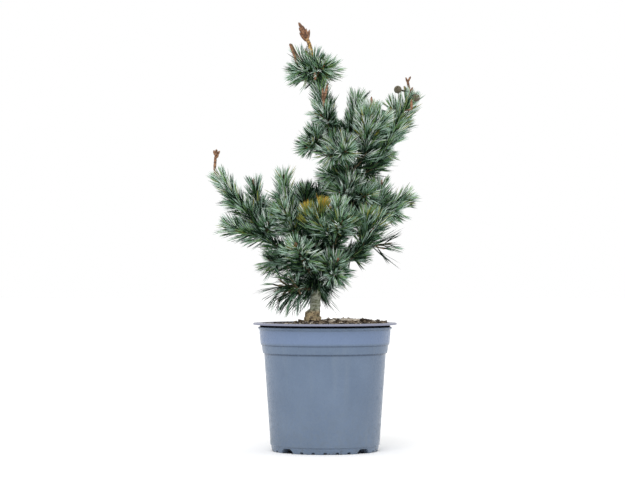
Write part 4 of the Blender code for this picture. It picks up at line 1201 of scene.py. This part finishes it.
def needle_mesh(name, needles):
    """Three-sided needles, each bent twice and drawn to a point, joined into one piece."""
    roots, headings, outs, curls, lengths, backs, waxes = needles
    count = len(roots)
    across = unit(np.cross(headings, outs))
    square = np.cross(across, headings)
    width = NEEDLE_WIDTH * np.interp(lengths / NEEDLE_LENGTH, *zip(*NEEDLE_GIRTHS))[:, None]
    corners = np.zeros((count, 10, 3))
    for k, (t, girth) in enumerate(NEEDLE_STATIONS):
        middle = needle_points(roots, headings, curls, lengths, t)
        corners[:, 3 * k] = middle + width * girth * (NEEDLE_EDGE * square + 0.5 * across)
        corners[:, 3 * k + 1] = middle + width * girth * (NEEDLE_EDGE * square - 0.5 * across)
        corners[:, 3 * k + 2] = middle - width * girth * NEEDLE_RIDGE * square
    corners[:, 9] = needle_points(roots, headings, curls, lengths, 1.0)
    faces = []
    for k in (0, 3):
        faces += [(k, k + 3, k + 4, k + 1), (k + 1, k + 4, k + 5, k + 2), (k + 2, k + 5, k + 3, k)]
    faces += [(6, 9, 7), (7, 9, 8), (8, 9, 6), (0, 1, 2)]
    pattern = np.array([corner for face in faces for corner in face])
    sizes = np.array([len(face) for face in faces])
    loops = (pattern[None] + 10 * np.arange(count)[:, None]).ravel()
    starts = np.concatenate([[0], np.cumsum(np.tile(sizes, count))[:-1]])
    # Painted shade: the faces at each needle's foot take the next darker tone, for the shade deep in the
    # tuft.
    is_back = np.array([1, 0, 0, 1, 0, 0, 1, 0, 0, 1], bool)
    is_foot = np.array([1, 1, 1, 0, 0, 0, 0, 0, 0, 1], bool)
    shaded_foot_back = np.where(backs == STRAW, TONE_NAMES.index("needle_olive"), np.maximum(backs - 1, 0))
    shaded_foot_wax = np.where(waxes > STRAW, waxes, np.maximum(waxes - 1, FIRST_WAX))
    tops = np.where(is_back[None], backs[:, None], waxes[:, None])
    feet = np.where(is_back[None], shaded_foot_back[:, None], shaded_foot_wax[:, None])
    shades = np.where(is_foot[None], feet, tops).ravel()
    return mesh_piece(name, corners.reshape(-1, 3), loops, starts, needle_materials, shades)


def path_length(path):
    return sum((after - before).length for before, after in zip(path, path[1:]))


def leafy_stretches(mass):
    """Every stretch with needles in a mass: its shoots, its bough's outer part, the trunk under the top."""
    stretches = []
    for shoot in masses[mass]:
        reach = shoot.reach + (CANDLE_OVERLAP if shoot.candle else 0)
        opening = YELLOW_OPENING if shoot.name in YELLOWED else NEEDLE_OPENING
        name = shoot.name or mass + "_sides"
        stretches.append(Leafy(shoot.whole, (0, shoot.leafy), reach, mass, name, opening))
    parent = MASSES[mass][0]
    if isinstance(parent, str):
        bough = rounded(limb_paths[parent], 0.004)
        clothed = bough[int(len(bough) * (1 - BARER_BOUGHS.get(mass, CLOTHED_BOUGH))):]
        length = path_length(clothed)
        whole = clothed + masses[mass][0].whole[1:]
        fuller = FULLER_BOUGHS.get(mass, 1.0)
        stretches.append(Leafy(whole, (0, length), length + NEEDLE_LENGTH, mass, "bough", sparser=fuller))
    if parent == TRUNK_LENGTH:
        for first, last, opening, narrower, longer, sparser, mood in TRUNK_BUNDLES:
            stem = [trunk_point(first + (last - first) * k / 30) for k in range(31)]
            height = abs(last - first)
            angles = ((0.0, opening), (1.0, narrower))
            reach = height + NEEDLE_LENGTH * longer
            stretches.append(Leafy(stem, (0, height), reach, mass, mood, angles, longer, sparser))
    return stretches


needle_total = 0
for tier, names in TIERS.items():
    gathered = []
    for mass in names:
        dice = np.random.default_rng(SEED + 7 * sum(ord(letter) for letter in mass))
        for stretch in leafy_stretches(mass):
            mood = MOOD_OF.get(stretch.name) or MOOD_OF.get(mass)
            mood = mood or ("blue" if dice.random() < 0.5 else "green")
            gathered.append(needles_on(stretch, mood, dice))
    columns = [np.concatenate(column) for column in zip(*gathered)]
    clear = clear_needles(columns[0], columns[1], columns[3], columns[4])
    needles = needle_mesh(tier, [column[clear] for column in columns])
    needle_total += int(clear.sum())
    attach(needles, "root")
    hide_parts(*["mass_" + mass for mass in names])
print("needles:", needle_total)

# The candles, buds and young cones
# New growth before its needles open: yellowish stems with brown papery scales that end in clusters of
# buds, a resting bud on every other tip, and two unripe cones beside the candle on the right.
CONE_RADIUS = 0.0064
CONE_SCALES = 44
# Each tall candle: across and up along its stem, its radius, then its buds as foot, tip and radius
CANDLES = {
    "left_outer": (((-0.1831, 0.466), (-0.1840, 0.482), (-0.1824, 0.496)), 0.0023, (
        ((-0.1826, 0.493), (-0.1866, 0.5025), 0.0026), ((-0.1824, 0.494), (-0.1816, 0.5040), 0.0027),
        ((-0.1822, 0.493), (-0.1762, 0.5015), 0.0025), ((-0.1826, 0.489), (-0.1780, 0.4945), 0.0018))),
    "right_upper": (((0.1420, 0.594), (0.1407, 0.610), (0.1388, 0.6195)), 0.0022, (
        ((0.1390, 0.617), (0.1358, 0.6260), 0.0018), ((0.1390, 0.617), (0.1440, 0.6272), 0.0019),
        ((0.1430, 0.598), (0.1478, 0.6095), 0.0024), ((0.1400, 0.600), (0.1325, 0.6110), 0.0024))),
    "top": (((-0.0225, 0.664), (-0.0262, 0.680), (-0.0310, 0.6900)), 0.0032, (
        ((-0.0335, 0.690), (-0.0425, 0.7165), 0.0034), ((-0.0325, 0.688), (-0.0372, 0.7110), 0.0034),
        ((-0.0300, 0.686), (-0.0258, 0.7050), 0.0027), ((-0.0315, 0.685), (-0.0428, 0.6995), 0.0026),
        ((-0.0330, 0.690), (-0.0440, 0.7080), 0.0022), ((-0.0308, 0.687), (-0.0316, 0.7060), 0.0027),
        ((-0.0395, 0.706), (-0.0446, 0.7170), 0.0019))),
    "top_side": (((-0.0447, 0.6436), (-0.0515, 0.662), (-0.0578, 0.6780)), 0.0022, (
        ((-0.0570, 0.676), (-0.0586, 0.6815), 0.0024),)),
}
# The share of its colours, from yellow through tan to brown, at each candle's foot and top, then its buds'
CANDLE_SHADES = {
    "left_outer": (0.62, 0.85, 0.85), "right_upper": (0.40, 0.90, 0.85),
    "top": (0.0, 0.45, 1.0), "top_side": (0.58, 0.70, 0.80),
}
# Where on its shoot a tall candle starts
CANDLE_STARTS = {"left_outer": 0.88, "right_upper": 0.88, "top": 0.88, "top_side": 0.5}
# How far the tips of buds stand before or behind their feet, in turn
BUD_DEPTHS = (0.001, -0.004, 0.003, -0.001)
# How wide a bud is at shares of its length
BUD_SHAPE = ((0.0, 0.60), (0.15, 0.82), (0.35, 1.0), (0.60, 0.95), (0.80, 0.75), (0.93, 0.42), (1.0, 0.10))
# Shorter candles on the ends of named shoots: length, radius, shade
SHORT_CANDLES = {
    "left_tall": (0.015, 0.0027, 0.90), "front_left": (0.011, 0.0026, 0.62),
    "front_right": (0.011, 0.0026, 0.60), "right_low": (0.012, 0.0032, 0.62),
    "right_mid": (0.010, 0.0026, 0.55), "right_bud": (0.012, 0.0032, 0.55),
    "top_bud": (0.010, 0.0024, 0.85), "left_inner": (0.008, 0.0022, 0.70),
    "centre_tip": (0.008, 0.0022, 0.70),
}
RESTING_BUD = (0.004, 0.0010, 1.0)
# Candles on the sides of shoots: foot, tip, radius, shade
SIDE_CANDLES = (
    ((-0.0017, -0.026, 0.5846), (0.0047, -0.030, 0.6120), 0.0025, 0.52),
    ((-0.0040, -0.026, 0.5880), (-0.0040, -0.029, 0.6050), 0.0020, 0.56),
    ((-0.0167, -0.022, 0.6180), (-0.0170, -0.026, 0.6315), 0.0021, 0.62),
    ((0.0774, -0.026, 0.5660), (0.0770, -0.030, 0.5905), 0.0025, 0.56),
    ((0.1436, -0.022, 0.5690), (0.1440, -0.025, 0.5865), 0.0023, 0.72),
)
# The two cones across and up
CONES = ((0.1221, 0.6040), (0.1525, 0.5900))
# A cone's scale from root to lip: how far out, half its width, half its thickness
SCALE_SHAPE = ((0.0, 0.0013, 0.0011), (0.0026, 0.0019, 0.0010), (0.0040, 0.0011, 0.0006))
CANDLE_BUMPS = ((0.00042, 420), (0.00025, 1300))


def scaly(place, ring):
    return bumps(place, CANDLE_BUMPS)


def add_bud(bundle, root, tip, radius, shade):
    path = [root.lerp(tip, t) for t, _ in BUD_SHAPE]
    add_tube(bundle, path, [radius * girth for _, girth in BUD_SHAPE], 9, scaly, [shade] * len(path))


def nearest_wood(spot):
    """The nearest place on any shoot's wood."""
    best, found = 1.0, spot
    for shoots in masses.values():
        for shoot in shoots:
            for k in range(13):
                place, _ = along(shoot.whole, shoot.wood / shoot.reach * k / 12)
                if (place - spot).length < best:
                    best, found = (place - spot).length, place
    return found


candle_bundle = Bundle()
candle_feet = {}
for shoots in masses.values():
    for shoot in shoots:
        if shoot.candle:
            outline, radius, buds = CANDLES[shoot.name]
            depth = shoot.whole[-1].y
            start = along(shoot.whole, CANDLE_STARTS[shoot.name])[0]
            path = rounded([start] + [Vector((x, depth, z)) for x, z in outline], 0.002)
            last = len(path) - 1
            low_shade, high_shade, bud_shade = CANDLE_SHADES[shoot.name]
            shades = [low_shade + (high_shade - low_shade) * k / last for k in range(last + 1)]
            radii = [radius * (0.94 + 0.10 * math.sin(3 * k / last)) for k in range(last + 1)]
            add_tube(candle_bundle, path, radii, 12, scaly, shades)
            candle_feet[shoot.name] = path[len(path) // 2]
            for k, ((foot_x, foot_z), (tip_x, tip_z), girth) in enumerate(buds):
                foot = Vector((foot_x, depth, foot_z))
                tip = Vector((tip_x, depth + BUD_DEPTHS[k % 4], tip_z))
                add_bud(candle_bundle, foot, tip, girth, bud_shade - 0.10 * (k % 3))
        else:
            spot, ahead = along(shoot.whole, shoot.wood / shoot.reach)
            length, radius, shade = SHORT_CANDLES.get(shoot.name, RESTING_BUD)
            add_bud(candle_bundle, spot - ahead * 0.001, spot + ahead * length, radius, shade)
for foot, tip, radius, shade in SIDE_CANDLES:
    foot, tip = Vector(foot), Vector(tip)
    stalk = nearest_wood(foot)
    stem = [stalk, stalk.lerp(foot, 0.5), foot]
    add_tube(candle_bundle, stem, [0.0011, 0.0012, radius * 0.5], 7, None, [shade] * 3)
    add_bud(candle_bundle, foot, tip, radius, shade)

candle_scales, tree, shader = material_called("candle_scales")
mark = node(tree, "ShaderNodeAttribute", attribute_name="along").outputs["Fac"]
cloud, grain = mottled(tree, 300.0)
colour = layered(
    tree, tone(196, 158, 56),
    (mark, 0.20, 0.50, 1.0, (150, 112, 86)), (mark, 0.60, 0.90, 1.0, (112, 68, 40)),
    (grain, 0.46, 0.56, 0.50, (206, 160, 116)), (cloud, 0.46, 0.54, 0.75, (60, 34, 22)))
surface(tree, shader, colour, 0.6)
raised(tree, shader, grain, 0.6, 0.0006)
candles = candle_bundle.piece("candles", [candle_scales])
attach(candles, "root")
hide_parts(*["mass_" + name for name in masses])

# A young cone: a small egg of overlapping scales, each drawn up to a lip
cone_bundle = Bundle()
foot = candle_feet["right_upper"]
for across_x, up_z in CONES:
    centre = Vector((across_x, foot.y - 0.012, up_z))
    axis = Vector((0.2 if across_x > foot.x else -0.2, -0.85, 0.5)).normalized()
    stalk = [foot, foot.lerp(centre, 0.5), centre]
    add_tube(cone_bundle, stalk, [0.0018, 0.0016, 0.0018], 8, None, [0.0] * 3)
    side = axis.orthogonal().normalized()
    lift = axis.cross(side)
    for k in range(CONE_SCALES):
        height = 1 - 2 * (k + 0.5) / CONE_SCALES
        wide = math.sqrt(1 - height * height)
        turn = math.radians(GOLDEN_TURN * k)
        out = axis * height + (side * math.cos(turn) + lift * math.sin(turn)) * wide
        root = centre + out * CONE_RADIUS * 0.42
        tilt = (out + axis * 0.55).normalized()
        flat = tilt.cross(axis).normalized() if tilt.cross(axis).length > 0.01 else side
        thick = tilt.cross(flat)
        corners = []
        for reach_out, wing, deep in SCALE_SHAPE:
            for u, v in ((-1, -1), (1, -1), (1, 1), (-1, 1)):
                corners.append(root + tilt * reach_out + flat * wing * u + thick * deep * v)
        faces = [(3, 2, 1, 0), (8, 9, 10, 11)]
        for ring in (0, 4):
            faces += [(ring + n, ring + (n + 1) % 4, ring + 4 + (n + 1) % 4, ring + 4 + n) for n in range(4)]
        cone_bundle.add(corners, faces, [0.0] * 4 + [0.5] * 4 + [1.0] * 4)
cone_scale, tree, shader = material_called("cone_scales")
mark = node(tree, "ShaderNodeAttribute", attribute_name="along").outputs["Fac"]
cloud, grain = mottled(tree, 160.0)
colour = layered(
    tree, tone(52, 46, 36), (mark, 0.2, 0.9, 1.0, (108, 102, 84)), (grain, 0.5, 0.7, 0.5, (136, 130, 112)))
surface(tree, shader, colour, 0.7)
raised(tree, shader, grain, 0.5, 0.0005)
cones = cone_bundle.piece("young_cones", [cone_scale], smooth=False)
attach(cones, "root")
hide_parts("mass_right_upper")

# The stage
# A plain pale floor under plain soft light, and a camera as low as the one that took the photograph.
CAMERA_PLACE = (-0.0209, -3.7, 0.300)
CAMERA_PITCH = 90.845
CAMERA_LENS = 127.4
SUN_STRENGTH = 1.0
SUN_WIDTH = 30
SUN_HEADING = (0.12, 0.75, -1.0)

bpy.ops.mesh.primitive_plane_add(size=40, location=(0, 0, 0))
floor = bpy.context.object
floor.name = "floor"
floor.data.materials.append(plain_material("pale_floor", (0.97, 0.97, 0.97, 1), 0.9, 0.1))
floor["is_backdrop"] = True

world = bpy.data.worlds.new("studio")
bpy.context.scene.world = world
world.use_nodes = True
world.node_tree.nodes["Background"].inputs["Color"].default_value = (1.0, 1.0, 1.0, 1)
world.node_tree.nodes["Background"].inputs["Strength"].default_value = 1.0
bpy.context.scene.view_settings.view_transform = "Standard"

sun = bpy.data.lights.new("soft_sun", "SUN")
sun.energy = SUN_STRENGTH
sun.angle = math.radians(SUN_WIDTH)
daylight = bpy.data.objects.new("soft_sun", sun)
daylight.rotation_euler = Vector(SUN_HEADING).to_track_quat("-Z", "Y").to_euler()
bpy.context.scene.collection.objects.link(daylight)

bpy.ops.object.camera_add(location=CAMERA_PLACE, rotation=(math.radians(CAMERA_PITCH), 0, 0))
camera = bpy.context.object
camera.data.lens = CAMERA_LENS
camera.data.sensor_width = 36
camera.data.clip_end = 100
bpy.context.scene.camera = camera

low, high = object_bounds()
